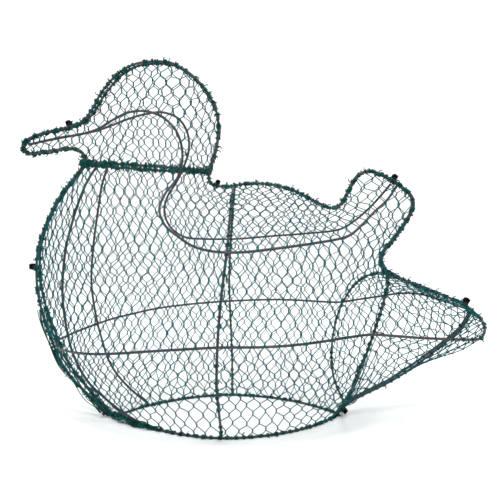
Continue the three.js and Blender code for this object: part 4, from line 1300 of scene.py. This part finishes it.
def add_strap(bm, centre, head, across, tangent, spacing, inner):
    """A flat strap in a loop round both outline rods."""
    outer, half = inner + STRAP["thick"], STRAP["wide"] / 2
    flat_half = half - STRAP["chamfer"]
    section = ((inner, -half), (outer, -flat_half), (outer, flat_half), (inner, half))
    steps = STRAP["bend_steps"]
    rings = []
    for offset, first_angle in ((spacing, 0), (-spacing, math.pi)):
        for k in range(steps + 1):
            angle = first_angle + math.pi * k / steps
            ring = []
            for radius, along in section:
                sideways = offset + radius * math.sin(angle)
                p = centre + head * (radius * math.cos(angle)) + across * sideways + tangent * along
                ring.append(bm.verts.new((p + CAD_SHIFT) * MM))
            rings.append(ring)
    for ring, after in zip(rings, rings[1:] + rings[:1]):
        for k in range(4):
            bm.faces.new((ring[k], after[k], after[(k + 1) % 4], ring[(k + 1) % 4]))


def add_block(bm, start, head, across, tangent, low, high, half_across, half_along):
    """A rounded block that reaches from low to high along the head's direction."""
    corners = bmesh.ops.create_cube(bm, size=1.0)["verts"]
    for v in corners:
        up = low + (v.co.x + 0.5) * (high - low)
        p = start + head * up + across * (v.co.y * 2 * half_across) + tangent * (v.co.z * 2 * half_along)
        v.co = (p + CAD_SHIFT) * MM
    edges = list({e for v in corners for e in v.link_edges})
    bmesh.ops.bevel(bm, geom=edges, offset=TIE_BEVEL, segments=3, affect="EDGES", profile=0.6)


class DUCK_OT_cable_ties(bpy.types.Operator):
    """Clamp the two outline rods together with black cable ties"""

    bl_idname = "duck_frame.cable_ties"
    bl_label = "Cable ties"

    def execute(self, context):
        inner = rod_radius() + STRAP["gap"]
        for name in TIES:
            centre, head, across, tangent, spacing = tie_place(name)
            bm = bmesh.new()
            add_strap(bm, centre, head, across, tangent, spacing, inner)
            if name in HEAD_ON_LEFT:
                centre = centre + across * spacing
                head, across = across, -head
            head_length, width = TIES[name][2:]
            top = inner + head_length
            add_block(bm, centre, head, across, tangent, inner + TIE_BLOCK["sink"], top,
                      TIE_BLOCK["half_across"], width * TIE_BLOCK["half_share"])
            add_block(bm, centre, head, across, tangent, top - TIE_CAP["sink"], top + TIE_CAP["rise"],
                      TIE_CAP["half_across"], width * TIE_CAP["half_share"])
            bmesh.ops.recalc_face_normals(bm, faces=bm.faces)
            mesh = bpy.data.meshes.new("nylon_" + name)
            bm.to_mesh(mesh)
            bm.free()
            mesh.shade_smooth()
            mesh.materials.append(tie_nylon())
            hand_over(new_object("nylon_" + name, mesh), "tie_nylon", name)
        return {"FINISHED"}


class DUCK_OT_stage(bpy.types.Operator):
    """Set the camera, the soft lights and the pale floor"""

    bl_idname = "duck_frame.stage"
    bl_label = "Camera, lights and floor"

    def execute(self, context):
        scene = context.scene
        lens = bpy.data.cameras.new("camera")
        lens.sensor_width = SENSOR_WIDTH
        lens.lens = FOCAL_PIXELS / PHOTO_PIXELS * SENSOR_WIDTH
        lens.clip_end = CAMERA_REACH
        camera = new_object("camera", lens)
        camera.location = CAMERA_PLACE
        camera.rotation_euler = (math.radians(CAMERA_TILT), 0, 0)
        scene.camera = camera
        world = bpy.data.worlds.new("studio")
        world.use_nodes = True
        background = world.node_tree.nodes["Background"]
        background.inputs["Color"].default_value = (1.0, 1.0, 1.0, 1)
        background.inputs["Strength"].default_value = WORLD_STRENGTH
        scene.world = world
        scene.view_settings.view_transform = "Standard"
        for name, (place, energy) in LIGHTS.items():
            light = bpy.data.lights.new(name, "AREA")
            light.size = LIGHT_SIZE
            light.energy = energy
            lamp = new_object(name, light)
            lamp.location = place
            aim = Vector(LIGHT_TARGET) - Vector(place)
            lamp.rotation_euler = aim.to_track_quat("-Z", "Y").to_euler()
        mesh = bpy.data.meshes.new("floor")
        corners = [(x * FLOOR_HALF, y * FLOOR_HALF, 0) for x, y in ((-1, -1), (1, -1), (1, 1), (-1, 1))]
        mesh.from_pydata(corners, [], [(0, 1, 2, 3)])
        finish = bpy.data.materials.new("Pale floor")
        finish.use_nodes = True
        shader = finish.node_tree.nodes["Principled BSDF"]
        shader.inputs["Base Color"].default_value = FLOOR_COLOUR
        shader.inputs["Roughness"].default_value = 0.9
        shader.inputs["Specular IOR Level"].default_value = 0.0
        mesh.materials.append(finish)
        floor = new_object("floor", mesh)
        return {"FINISHED"}


class DUCK_PT_panel(bpy.types.Panel):
    bl_label = "Duck frame"
    bl_idname = "DUCK_PT_panel"
    bl_space_type = "VIEW_3D"
    bl_region_type = "UI"
    bl_category = "Duck frame"

    def draw(self, context):
        for key in DuckFrameSettings.__annotations__:
            self.layout.prop(context.scene.duck_frame, key)
        for step in STEPS:
            self.layout.operator(step.bl_idname)


STEPS = (
    DUCK_OT_stage,
    DUCK_OT_rods,
    DUCK_OT_body_netting,
    DUCK_OT_head_netting,
    DUCK_OT_tail_netting,
    DUCK_OT_wound_ends,
    DUCK_OT_cable_ties,
)
CLASSES = (DuckFrameSettings, *STEPS, DUCK_PT_panel)


def register():
    for cls in CLASSES:
        bpy.utils.register_class(cls)
    bpy.types.Scene.duck_frame = bpy.props.PointerProperty(type=DuckFrameSettings)


def unregister():
    del bpy.types.Scene.duck_frame
    for cls in reversed(CLASSES):
        bpy.utils.unregister_class(cls)


def main():
    register()
    bpy.ops.duck_frame.stage()
    bpy.ops.duck_frame.rods()
    bpy.ops.duck_frame.body_netting()
    bpy.ops.duck_frame.head_netting()
    bpy.ops.duck_frame.tail_netting()
    bpy.ops.duck_frame.wound_ends()
    bpy.ops.duck_frame.cable_ties()


if __name__ == "__main__":
    main()
